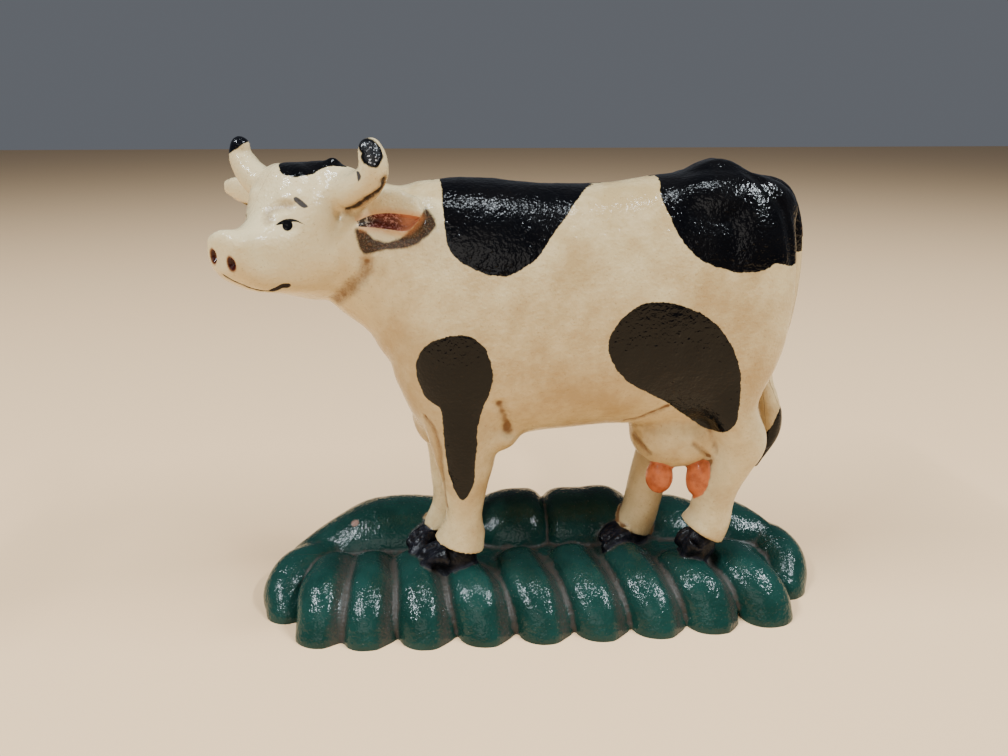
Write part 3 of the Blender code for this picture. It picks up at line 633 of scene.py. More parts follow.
# %% Divide the head's squares
on_head = head_share(points) > 0.5
work = bmesh.new()
work.from_mesh(skin.data)
head_edges = [e for e in work.edges if on_head[e.verts[0].index] and on_head[e.verts[1].index]]
bmesh.ops.subdivide_edges(work, edges=head_edges, cuts=1, use_grid_fill=True)
work.to_mesh(skin.data)
work.free()
points = read_points(skin.data)
edges = read_edges(skin.data)
on_head = (head_share(points) > 0.5)[:, None]
HEAD_ROUNDS = 3
for _ in range(HEAD_ROUNDS):
    points += (neighbour_mean(points, edges) - points) * HALFWAY * on_head
write_points(skin.data, points)
print("the skin now has", len(points), "points")

# %% [markdown]
# ## Strokes of the modelling tool
# A press pushes a round or oval hollow, or with a negative depth raises a
# swelling. A groove does the same along a path. Both act along the normals.

# %% Press and groove
normals = read_normals(skin.data)
CURVE_STEPS = 6


def stroke(reach, depth):
    """Moves the skin in along its normals: fully where reach is 0, not at all from 1 on."""
    global points
    amount = (1.0 - np.clip(reach, 0.0, 1.0) ** 2) ** 2 * depth
    points = points - normals * amount[:, None]


def press(centre, radii, depth):
    stroke(oval_reach(points, centre, radii), depth)


def lay(*paths):
    """Drops smooth paths on to the skin."""
    tree = BVHTree.FromPolygons(points.tolist(), [tuple(face.vertices) for face in skin.data.polygons])
    return [[tree.find_nearest(place)[0] for place in smooth_rows(path, CURVE_STEPS)] for path in paths]


def groove(path, width, depth):
    """Cuts a groove with a round bottom along a path that was laid on the skin."""
    stroke(distance_to_path(points, path) / width, depth)


def refresh():
    """Reads the normals again after strokes that changed the shape."""
    global normals
    write_points(skin.data, points)
    normals = read_normals(skin.data)


# %% [markdown]
# ## Outlines
# Ear openings and painted patches are closed outlines of a few points each.
# A signed distance to the outline, positive inside, is worth more than a yes
# or no: the shader can wobble it, soften it and chip it, and the edge stays
# crisp however coarse the skin is.

# %% Signed distance to an outline
def inside(u, v, outline):
    """How far inside a smooth closed outline each (u, v) is, negative outside."""
    count = len(outline)
    ring = []
    for i in range(count):
        around = [Vector(outline[(i + k - 1) % count]) for k in range(4)]
        ring += [curve_point(*around, k / CURVE_STEPS) for k in range(CURVE_STEPS)]
    nearest = np.full(len(u), 1e9)
    winding = np.zeros(len(u), bool)
    for p, q in zip(ring, ring[1:] + ring[:1]):
        du, dv = q[0] - p[0], q[1] - p[1]
        share = np.clip(((u - p[0]) * du + (v - p[1]) * dv) / (du * du + dv * dv), 0.0, 1.0)
        nearest = np.minimum(nearest, np.hypot(u - p[0] - share * du, v - p[1] - share * dv))
        if dv:
            crosses = (v < p[1]) != (v < q[1])
            winding ^= crosses & (u < p[0] + (v - p[1]) * du / dv)
    return np.where(winding, nearest, -nearest)


# %% [markdown]
# ## The face
# The eye lies in a shallow socket under a heavy brow. The muzzle has two
# upright nostrils and a mouth line that turns up at its corner. The ears are
# cupped, with a broad lip below. The outlines are seen from the painted side,
# along Y, which is how the painter saw them too.

# %% Sculpt the head
# Each stroke's place as ahead, out and height, its radii and its depth.
FACE_STROKES = {
    "eye_socket": ((18.0, 9.8, 143.2), (4.6, 4.6, 3.2), 0.9),
    "eyeball": ((17.6, 10.0, 143.3), (2.3, 2.3, 1.9), -0.55),
    "brow": ((15.0, 8.5, 151.5), (6.5, 6.5, 3.2), -0.7),
    "cheek": ((8.0, 17.0, 133.0), (10.0, 10.0, 9.0), -0.8),
    "muzzle_side": ((26.0, 8.8, 136.0), (5.0, 5.0, 6.0), 0.7),
    "nose_wing": ((31.5, 6.6, 140.5), (4.0, 4.0, 3.0), -0.5),
}
for hand in (1, -1):
    for place, radii, depth in FACE_STROKES.values():
        press(head_point(place[0], hand * place[1], place[2]), radii, depth)
refresh()
BROW, JAW = lay(
    [(-85.1, -26.0, 144.9), (-85.9, -23.4, 146.8), (-83.1, -23.0, 148.5), (-79.3, -23.9, 148.8)],
    [(-58.4, -19.4, 131.0), (-59.0, -19.4, 128.5), (-60.7, -19.0, 126.1), (-63.8, -17.8, 123.4),
     (-66.1, -16.3, 121.1), (-69.9, -11.8, 117.5)])
groove(BROW, 2.6, 0.5)
groove(JAW, 3.0, 0.6)
refresh()
NOSTRILS = (head_point(34.1, 3.8, 134.6), head_point(34.5, -2.9, 136.1))
for nostril in NOSTRILS:
    press(nostril, (1.7, 1.7, 2.4), 1.7)
MOUTH, MOUTH_CORNER = lay(
    [(-97.3, -33.6, 130.6), (-95.5, -33.8, 128.9), (-93.2, -32.9, 127.0), (-91.2, -31.0, 125.8),
     (-88.6, -29.2, 124.9), (-86.2, -27.8, 124.5)],
    [(-85.9, -27.6, 124.7), (-84.5, -27.7, 125.4), (-82.8, -27.4, 126.4), (-81.4, -26.7, 126.1)])
groove(MOUTH, 0.7, 0.35)
groove(MOUTH_CORNER, 1.3, 1.0)
refresh()

EAR_OPENING = [(-61.4, 142.3), (-60.7, 143.4), (-56.2, 145.0), (-50.6, 145.8), (-42.6, 145.1),
               (-42.2, 143.9), (-45.7, 140.7), (-49.8, 140.7), (-55.6, 141.3), (-60.0, 141.8)]
EAR_DEPTH = 2.0
OFF_THE_AREA = -5.0


def seen_x(ahead, left):
    """The x of a point, or of its mirror image if it's on the head's far side."""
    return POLL.x + FORWARD.x * ahead + LEFT.x * np.abs(left)


def ear_cup(at):
    """How deep inside an ear's opening each point is, negative outside it."""
    ahead, left, height = to_head(at)
    depth = inside(seen_x(ahead, left), height, EAR_OPENING)
    on_front = np.abs(ahead + 3.0 + 0.1 * np.abs(left)) < 6.0
    return np.where(on_front & (np.abs(left) > 18.0), depth, OFF_THE_AREA)


cup = ease(-0.4, 1.6, ear_cup(points)) * ease(0.0, 0.4, normals @ np.array(FORWARD))
points -= np.array(FORWARD) * (EAR_DEPTH * cup)[:, None]
refresh()

# %% [markdown]
# ## Folds of the body
# Where the elbow meets the belly, where the udder hangs from the flank and
# where the tail lies on the haunch, the casting has soft creases. They matter
# twice: they shade the form, and later most of them hold the brown wash and
# the painted shade that darkens them. Each is a path with the groove's width
# and depth, then the width and strength of its wash and painted shade, if it has one.

# %% Creases
CREASES = {
    "elbow": ([(-18.0, -23.5, 84.6), (-16.2, -21.1, 79.0), (-14.6, -17.7, 72.3)], 3.4, 0.9, 4.0, 0.45),
    "udder_top": ([(26.0, -13.8, 73.5), (30.6, -15.8, 75.3), (33.5, -17.5, 77.4), (38.6, -19.5, 80.7)],
                  1.8, 0.6, 2.4, 0.8),
    "udder_side": ([(31.2, -7.0, 64.6), (33.2, -9.9, 62.7), (35.6, -11.2, 60.1)], 1.6, 0.4, 3.0, 0.9),
    "udder_back": ([(50.6, -15.9, 64.8), (53.4, -15.1, 62.2), (56.7, -13.6, 59.0)], 1.6, 0.4, 2.2, 0.8),
    "chest": ([(-42.6, -18.3, 78.9), (-39.7, -20.2, 75.0), (-38.0, -19.0, 65.1), (-37.1, -14.4, 50.5),
               (-36.3, -13.9, 42.3)], 1.5, 0.5, 2.2, 0.9),
    "under_horn": ([(-51.4, -25.1, 156.0), (-51.9, -24.0, 154.0), (-55.1, -24.4, 151.4),
                    (-57.9, -23.3, 149.6), (-61.2, -20.5, 147.6), (-62.8, -19.4, 147.0)],
                   1.7, 0.6, 3.6, 1.1),
    "hip": ([(61.6, -11.8, 155.9), (65.2, -16.0, 152.6), (68.5, -17.4, 149.1), (71.6, -18.4, 144.0),
             (73.6, -19.9, 136.4), (74.7, -20.8, 130.3)], 3.0, 0.7),
    "flank": ([(33.5, -25.8, 117.7), (35.2, -25.9, 106.3), (37.7, -24.7, 95.7)], 6.0, -0.5),
}
laid = dict(zip(CREASES, lay(*[crease[0] for crease in CREASES.values()])))
for name, crease in CREASES.items():
    groove(laid[name], crease[1], crease[2])
refresh()
# Paths of brown wash that is also painted shade, darkening the creases where shade falls.
WASH_AND_SHADE_PATHS = [(laid[name], *crease[3:]) for name, crease in CREASES.items() if len(crease) > 3]
WASH_AND_SHADE_PATHS += [(BROW, 3.6, 0.7), (JAW, 4.6, 0.9)]
# A painted shadow: a dark brown line in the crease under the near horn.
UNDER_HORN_SHADOW_PATH = laid["under_horn"]
print(len(CREASES), "creases,", len(WASH_AND_SHADE_PATHS), "paths of wash")

# %% [markdown]
# ## Flat flanks and parted toes
# The right side of each front lobe is nearly flat and meets its neighbour in
# a sharp valley, so a broad groove runs down it; the same paths later carry
# dirt and painted shade. Narrow grooves part the toes and run along each toe.

# %% Flanks of the lobes and grooves of the toes
FLANK_OFFSET = -2.4
FLANK_RISES = ((-6.0, 1.0), (-5.0, 8.0), (-2.0, 14.0), (0.0, 17.0))


def flank_path(i):
    """A line down the right flank of a front lobe, a little outside the skin."""
    pairs = zip(front_lobe(i), front_lobe(i + 1), FLANK_RISES)
    return [((a[0] + b[0]) / 2 + FLANK_OFFSET, (a[1] + b[1]) / 2 + out, up) for a, b, (out, up) in pairs]


flanks = lay(*[flank_path(i) for i in range(LOBES - 1)])
for path in flanks:
    groove(path, 5.0, 0.9)
ABOVE_TOES = Vector((0.0, 0.0, 4.0))
toe_lines = []
for root, size, tips in HOOVES.values():
    toes = [toe_rows(root, tip, k) for k, tip in enumerate(tips)]
    starts, ends = ([Vector(toe[row][:3]) for toe in toes] for row in (1, 2))
    between_toes = [(starts[0] + starts[1]) / 2, (ends[0] + ends[1]) / 2]
    for line in (between_toes, [starts[0], ends[0]], [starts[1], ends[1]]):
        toe_lines.append([tuple(p + ABOVE_TOES) for p in line])
for path in lay(*toe_lines):
    groove(path, 1.2, 0.8)
refresh()
print(len(flanks), "flanks and", len(toe_lines), "grooves on the toes")

# %% [markdown]
# ## Sand in the skin
# A sand casting is never quite smooth. Two sizes of random swelling, laid
# over the whole skin, stand for the flow of the iron and the brush marks of
# thick paint. The sand's own grain is finer, and comes with the finish.

# %% Casting grain
WAVES = 24
# The height, the width and the random seed of each size of swelling.
SWELLINGS = ((0.10, 14.0, 3), (0.035, 3.2, 5))


def wander(at, scale, seed):
    """A smooth random value at every point, summed from waves."""
    draw = np.random.default_rng(seed)
    total = np.zeros(len(at))
    for _ in range(WAVES):
        wave = draw.normal(size=3)
        wave *= 2 * math.pi / (scale * draw.uniform(0.7, 1.6) * np.linalg.norm(wave))
        total += np.sin(at @ wave + draw.uniform(0, 2 * math.pi))
    return total / math.sqrt(WAVES)


swelling = sum(high * wander(points, scale, seed) for high, scale, seed in SWELLINGS)
points += normals * swelling[:, None]
refresh()
print("swellings up to", round(float(np.abs(swelling).max()), 2), "mm")

# %% [markdown]
# ## Where the wash and the painted shade settle
# A hollow is a place where the neighbours, averaged over a little distance,
# lie outside the skin. That difference, along the normal, is positive in a
# crease and negative on an edge, at two scales.

# %% Measure hollows and edges
def hollowness(rounds):
    soft = points.copy()
    for _ in range(rounds):
        soft = neighbour_mean(soft, edges)
    return np.sum((soft - points) * normals, axis=1)


fine_hollow = hollowness(int(8 * REACH) + 1)
broad_hollow = hollowness(int(90 * REACH))
print("hollows up to", round(float(fine_hollow.max()), 2), "and", round(float(broad_hollow.max()), 2), "mm")

# %% [markdown]
# ## Black patches
# The painter's black patches wrap the body, so an outline seen from the side
# is enough for each. The far side can't be seen, so it carries its own, made
# up in the same manner.

# %% The black patches, seen from the side
NEAR_PATCHES = {
    "withers": [(-35, 160), (-35, 151.5), (-34.3, 141), (-33.8, 136.7), (-32.1, 133.6), (-29.4, 131.3),
                (-25.6, 129.3), (-21.3, 127.8), (-17.4, 127.4), (-13.8, 128.1), (-9.8, 130.4), (-6.1, 133.2),
                (-2.9, 137.4), (0.7, 141.8), (5.3, 146.9), (9.7, 150.7), (16, 154), (17, 162), (-10, 168)],
    "rump": [(34.4, 162), (34.2, 154.2), (32.9, 149.6), (35, 143.8), (37.4, 138.7), (41, 134), (45.4, 130.7),
             (51.2, 128.6), (56.6, 127.3), (61.5, 127.6), (65.4, 128.4), (68.4, 129.9), (72.4, 128.8),
             (75.9, 128.5), (80, 129.5), (90, 131), (92, 150), (80, 164), (55, 170)],
    "flank": [(16, 104.3), (17.2, 109.9), (21.1, 114.9), (26.3, 118.3), (31.5, 118.7), (37, 117.9),
              (43.5, 115.6), (49.2, 112.3), (54, 107.2), (57.9, 100.7), (61.3, 90.4), (62, 78.2),
              (61.3, 74.3), (57.9, 70.4), (52.7, 71.2), (43.4, 78.4), (37.8, 83), (31.6, 86.7),
              (24.6, 91.1), (19.1, 96.9)],
    "shoulder": [(-32.7, 109.2), (-27.4, 108.9), (-23.1, 105.5), (-21.3, 101.1), (-20.3, 95.9), (-21, 90.9),
                 (-23.8, 82.6), (-25.2, 75.9), (-26.3, 59.8), (-27.1, 52.7), (-30.6, 47.5), (-33.3, 51.1),
                 (-35.5, 59.5), (-36.5, 72.2), (-36.9, 81), (-37.8, 84.2), (-41.9, 86.9), (-44.5, 94.1),
                 (-44.3, 100.5), (-39.9, 106.4)],
}
FAR_PATCHES = {
    "withers": [(-36, 162), (-37, 140), (-30, 122), (-14, 116), (4, 124), (12, 140), (17, 154),
                (12, 166), (-10, 168)],
    "rump": [(34, 160), (35, 146), (44, 132), (58, 126), (72, 130), (90, 136), (90, 150), (80, 162),
             (55, 168)],
    "flank": [(24, 100), (30, 112), (44, 114), (54, 104), (60, 90), (56, 78), (42, 76), (28, 86)],
    "shoulder": [(-38, 106), (-26, 102), (-20, 90), (-24, 76), (-33, 70), (-42, 78), (-46, 92)],
}
# On the poll, left and ahead
POLL_PATCH = [(-2.6, 6.2), (0.2, 9.6), (2.6, 10.8), (5.2, 10.9), (8.0, 10.0), (9.8, 7.6), (10.4, 4.4),
              (12.4, 2.6), (15.0, 1.3), (17.6, -0.2), (15.0, -3.0), (8.0, -4.0), (1.0, -3.0), (-2.5, 1.0)]
LID = [(-82.9, 143.8), (-81.1, 145.0), (-79.4, 145.3), (-77.2, 145.0), (-74.6, 143.4), (-77.2, 144.4),
       (-79.4, 144.4), (-81.1, 143.9)]
PUPIL = (-79.7, 143.5)
PUPIL_RADIUS = 1.45
NOSTRIL_SIZE = (1.25, 1.25, 2.0)
# The brown web between the ear and the neck: painted shadow under the ear, stippled like the wash
EAR_SHADOW_WEB = [(-61.4, 141.4), (-60.9, 138.0), (-59.7, 134.2), (-57.3, 133.7), (-52.5, 134.8), (-47.0, 135.2),
           (-43.9, 136.2), (-40.8, 138.1), (-37.7, 140.8), (-36.9, 142.2), (-37.8, 144.4), (-40.4, 146.8),
           (-42.2, 143.9), (-46.1, 139.7), (-49.3, 137.8), (-52.8, 137.1), (-56.1, 138.3), (-58.5, 140.3)]
WORN_HORN = [(-57.6, 166.0), (-56.3, 166.7), (-54.3, 166.3), (-52.1, 163.6), (-52.7, 161.4), (-53.6, 160.5),
             (-55.8, 161.2), (-56.7, 162.4), (-56.5, 163.5), (-57.2, 164.7)]
CHIPS = ([(-77.8, 151.1), (-76.7, 151.1), (-74.9, 149.6), (-73.8, 148.5), (-75.1, 148.1), (-76.7, 149.2),
          (-77.8, 150.1)],
         [(-59.2, 158.5), (-58.2, 158.3), (-57.8, 157.0), (-58.7, 155.7), (-59.0, 157.0)])
MOUND_CHIP = (-72.6, 10.4, 22.8)


def patch_distance(at):
    near, far = (np.max([inside(at[:, 0], at[:, 2], line) for line in patches.values()], axis=0)
                 for patches in (NEAR_PATCHES, FAR_PATCHES))
    return np.where(at[:, 1] < 0.0, near, far)


# %% [markdown]
# ## Every painted area as a number at each point
# Black patches, tail brush, hooves, mound, teats, horn tips, eyes, nostrils,
# mouth and ear cups: each gets a distance or a share, stored on the mesh as
# an attribute. So do the web behind the ear, brown as the painted shadow under
# it, the painted shadow under the horn, the dirt and painted shade on the
# lobes' flanks, the worn horn, the chips and the creases where wash and
# painted shade have settled. The shader reads them by name.

# %% Painted areas
# How far paint reaches from the path of a groove, with the groove's own depth added.
LIP_REACH = 0.5
CORNER_REACH = 1.04
SHADOW_LINE_REACH = 0.95


def smaller(*values):
    return np.min(values, axis=0)


def larger(*values):
    return np.max(values, axis=0)


def only(here, values):
    return np.where(here, values, OFF_THE_AREA)


def inside_roll(at, rows):
    """How deep inside a sweep each point is, taking its rings as round."""
    best = np.full(len(at), -1e9)
    for a, b in zip(rows[:-1], rows[1:]):
        start, run = np.array(a[:3]), np.array(b[:3]) - np.array(a[:3])
        share = np.clip((at - start) @ run / (run @ run), 0.0, 1.0)
        gap = np.linalg.norm(at - start - share[:, None] * run, axis=1)
        best = larger(best, max(a[3:]) + share * (max(b[3:]) - max(a[3:])) - gap)
    return best


def above_rim(at, rows):
    """How far above the rim of its cuff each point is."""
    end, before = np.array(rows[-1][:3]), np.array(rows[-2][:3])
    way = (before - end) / np.linalg.norm(before - end)
    return (at - end) @ way


def painted_areas(at):
    ahead, left, height = to_head(at)
    head = head_share(at)
    black = patch_distance(at)
    black = only((height > 60.0) | (at[:, 0] < 0.0), black)
    brush = 5.0 - distance_to_path(at, [row[:3] for row in TAIL_PATH[12:]])
    brush = smaller(brush, larger((61.9 - height + 2.7 * (at[:, 0] - 83.3)) / 2.9, 58.0 - height))
    poll_patch = inside(left, ahead, POLL_PATCH)
    poll_patch = only((height > 152.0) & (head > 0.5), poll_patch)
    black = larger(black, brush, poll_patch)
    areas = {"black": black}
    hoof = np.full(len(at), -9.0)
    for root, size, tips in HOOVES.values():
        reach = (1.0 - oval_reach(at, root, size)) * 6.0 + 0.8
        for k, tip in enumerate(tips):
            reach = larger(reach, inside_roll(at, toe_rows(root, tip, k)) + 0.5)
        hoof = larger(hoof, reach)
    leg = np.full(len(at), -9.0)
    for rows in LEGS.values():
        leg = larger(leg, smaller(inside_roll(at, rows[2:]) + 0.9, above_rim(at, rows)))
    areas["hoof"] = smaller(hoof, -leg)
    areas["ground"] = smaller(34.0 - height, -leg)
    areas["teat"] = (1.0 - teat_reach(at)) * 5.0 + 0.6
    x = seen_x(ahead, left)
    on_horn = (np.abs(left) > 18.0) & (height > 155.0)
    dipped = height - 163.0 - 0.6 * (at[:, 0] + 100.0)
    areas["horn_tip"] = only(on_horn & (left < 0.0), dipped)
    areas["worn_horn"] = only(on_horn & (left > 0.0) & (ahead > 1.0), inside(x, height, WORN_HORN))
    eye = larger(inside(x, height, LID), PUPIL_RADIUS - np.hypot(x - PUPIL[0], height - PUPIL[1]))
    areas["eye"] = only((head > 0.5) & (np.abs(left) > 4.0), eye)
    nostrils = [oval_reach(at, nostril, NOSTRIL_SIZE) for nostril in NOSTRILS]
    areas["nostril"] = 1.5 * (1.0 - smaller(*nostrils))
    lips = LIP_REACH - distance_to_path(at, MOUTH)
    areas["mouth"] = larger(lips, CORNER_REACH - distance_to_path(at, MOUTH_CORNER))
    areas["ear_cup"] = only(left > 0.0, ear_cup(at))
    areas["ear_along"] = left
    near_side = (at[:, 1] < -8.0) & (left > 15.0)
    areas["ear_web"] = only(near_side, inside(at[:, 0], height, EAR_SHADOW_WEB))
    chips = [inside(at[:, 0], height, outline) for outline in CHIPS]
    areas["chip"] = only(at[:, 1] < -18.0, larger(*chips))
    areas["mound_chip"] = 1.5 - np.linalg.norm(at - np.array(MOUND_CHIP), axis=1)
    # Brown wash and painted shade along the creases, the brow and the jaw.
    areas["settled"] = larger(*[ease(width, 0.0, distance_to_path(at, path)) * strength
                                for path, width, strength in WASH_AND_SHADE_PATHS])
    areas["dark_line"] = SHADOW_LINE_REACH - distance_to_path(at, UNDER_HORN_SHADOW_PATH)
    # Dirt and painted shade on the right flank of each front lobe, its side away from the light.
    areas["lobe_flank"] = larger(*[ease(5.5, 0.5, distance_to_path(at, path)) for path in flanks])
    areas["head"] = head
    return areas


# %% [markdown]
# ## The halves
# The real casting is two shells that meet on a parting face. The skin is cut
# the same way: a block on either side of the parting face takes its half, and
# the sand cores hollow it from below and inside. The cut faces take the bare
# iron of the cutters, by transferring the cutter's material.

# %% Cutters: parting blocks, cores and screw holes
PARTING = [(135.0, 0.0), (-60.0, 0.0), (-78.0, -6.5), (-91.0, -17.5), (-103.0, -31.0), (-135.0, -67.0)]
THROAT_HEIGHT = 100.0
WALL = 4.2
HOLLOW_HUMP = 13.6
SEAM = 0.08
SCREW_PLACES = {"front_screw": (-26.0, 112.0), "rear_screw": (48.0, 114.0)}
HOLE_RADIUS = 2.8
SEAT_RADIUS = 5.2
BOSS_RADIUS = 6.6
SHARP_ANGLE = math.radians(50.0)


def round_bar(name, centre, radius, start, end, corners=40):
    rows = [(centre[0], start, centre[1], radius, radius), (centre[0], end, centre[1], radius, radius)]
    return sweep(name, rows, side=(1.0, 0.0, 0.0), corners=corners, steps=1)


def cut(obj, other, how="DIFFERENCE"):
    step = obj.modifiers.new(how.lower(), "BOOLEAN")
    step.operation = how
    step.solver = "MANIFOLD"
    step.object = other
    step.material_mode = "TRANSFER"
    bake(obj)
    bpy.data.objects.remove(other, do_unlink=True)
    return obj


def parting_block(name, near):
    hand = -1 if near else 1
    bent = [(x, y + hand * SEAM / 2) for x, y in PARTING]
    straight = [(x, hand * SEAM / 2) for x, y in bent]
    levels = ((-1.0, straight), (THROAT_HEIGHT - 1.0, straight), (THROAT_HEIGHT + 1.0, bent), (200.0, bent))
    corners = []
    for z, line in levels:
        corners += [(x, y, z) for x, y in line]
        corners += [(line[-1][0], 140.0 * hand, z), (line[0][0], 140.0 * hand, z)]
    count = len(bent) + 2
    faces = [tuple(range(count)), tuple(range(3 * count, 4 * count))]
    for level in range(3):
        for i in range(count):
            a, b = level * count + i, level * count + (i + 1) % count
            faces.append((a, b, b + count, a + count))
    return mesh_object(name, corners, faces)


def cores(hand):
    body = sweep("body_core", torso_rows(WALL), along=(-1.0, 0.0, 0.0), square=2.2)
    cut(body, sweep("neck_core", neck_rows(WALL)), "UNION")
    rows = [(0.0, 0.5, -2.0, 28.0, 88.5), (0.0, 0.5, 5.0, 27.5, 87.0), (0.0, 2.0, 9.0, 22.0, 80.0),
            (0.0, 3.0, 10.5, 13.0, 68.0)]
    under = sweep("base_core", rows, along=(0.0, 0.0, 1.0), corners=64, steps=3, square=2.2)
    bank = [(-60.0, 15.0, 8.0, 7.0, 6.5), (-45.0, 17.0, 9.0, 11.0, 8.5), (0.0, 18.0, 9.5, 13.0, 8.5),
            (45.0, 17.0, 9.0, 11.0, 8.0), (64.0, 15.0, 8.0, 7.0, 6.0)]
    cut(under, sweep("bank_core", bank), "UNION")
    for rows in BACK_HUMPS:
        inner = [(x, y, z, wide - WALL, high - WALL) for x, y, z, wide, high in rows if wide > HOLLOW_HUMP]
        cut(under, sweep("hump_core", inner, along=(1.0, 0.0, 0.0), corners=36), "UNION")
    for x, z in SCREW_PLACES.values():
        cut(body, round_bar("boss", (x, z), BOSS_RADIUS, hand * -8.0, hand * 40.0))
    return body, under


# %% [markdown]
# ## Finishes from nodes
# A finish is a small tree of nodes. These helpers keep each tree short to
# write: a node takes its inputs as plain values or as other nodes' outputs.

# %% Node helpers
def node(tree, kind, inputs=None, **settings):
    new = tree.nodes.new("ShaderNode" + kind)
    for key, value in settings.items():
        setattr(new, key, value)
    for key, value in (inputs or {}).items():
        if isinstance(value, bpy.types.NodeSocket):
            tree.links.new(value, new.inputs[key])
        else:
            new.inputs[key].default_value = value
    return new


def maths(tree, how, a, b=0.0, c=0.0):
    return node(tree, "Math", {0: a, 1: b, 2: c}, operation=how).outputs[0]


def between(tree, value, low, high, start=0.0, end=1.0):
    inputs = {"Value": value, "From Min": low, "From Max": high, "To Min": start, "To Max": end}
    return node(tree, "MapRange", inputs, interpolation_type="SMOOTHSTEP").outputs[0]


def mix(tree, share, a, b):
    new = node(tree, "Mix", {0: share, 6: a, 7: b}, data_type="RGBA")
    return new.outputs[2]


def noise(tree, where, scale, detail=3.0, rough=0.6):
    inputs = {"Vector": where, "Scale": scale, "Detail": detail, "Roughness": rough}
    return node(tree, "TexNoise", inputs).outputs[0]


def area(tree, name):
    return node(tree, "Attribute", attribute_name=name).outputs["Fac"]


def new_finish(name):
    """A material, with its nodes, its shader and the place of each point on the object."""
    finish = bpy.data.materials.new(name)
    finish.use_nodes = True
    tree = finish.node_tree
    where = node(tree, "TexCoord").outputs["Object"]
    return finish, tree, tree.nodes["Principled BSDF"], where


def colour(red, green, blue):
    """A display colour from 0 to 255, as the linear colour that shaders use."""
    linear = [((c / 255 + 0.055) / 1.055) ** 2.4 if c > 10 else c / 255 / 12.92 for c in (red, green, blue)]
    return (*linear, 1.0)


# %% [markdown]
# ## Paint in layers
# Cream goes over everything, with the brown wash that was wiped off it and
# stayed in the hollows; it is also painted shade, darker in creases and broad
# hollows. Green covers the mound, with dirt and painted shade in its grooves
# and on the right flank of each lobe, black the patches and hooves, terracotta
# the teats. Painted shadows lie under the near horn and under the ear. Then
# come the ear, the small marks of the face and the chips, each a row with its
# area, softness, inset, raggedness and colour. Wear comes at the end: a rubbed
# horn shows bright iron.

# %% The hand-painted finish
SMALL_MARKS = (("eye", 0.1, 0.0, 0.15, (8, 8, 10)), ("nostril", 0.4, 0.35, 0.3, (120, 72, 40)),
               ("nostril", 0.25, 0.0, 0.3, (52, 16, 14)), ("mouth", 0.15, 0.0, 0.15, (30, 12, 10)),
               ("chip", 0.15, 0.0, 0.4, (66, 62, 60)), ("horn_tip", 0.25, 0.0, 1.0, (8, 9, 14)),
               ("worn_horn", 0.3, 0.9, 0.8, (10, 10, 12)))


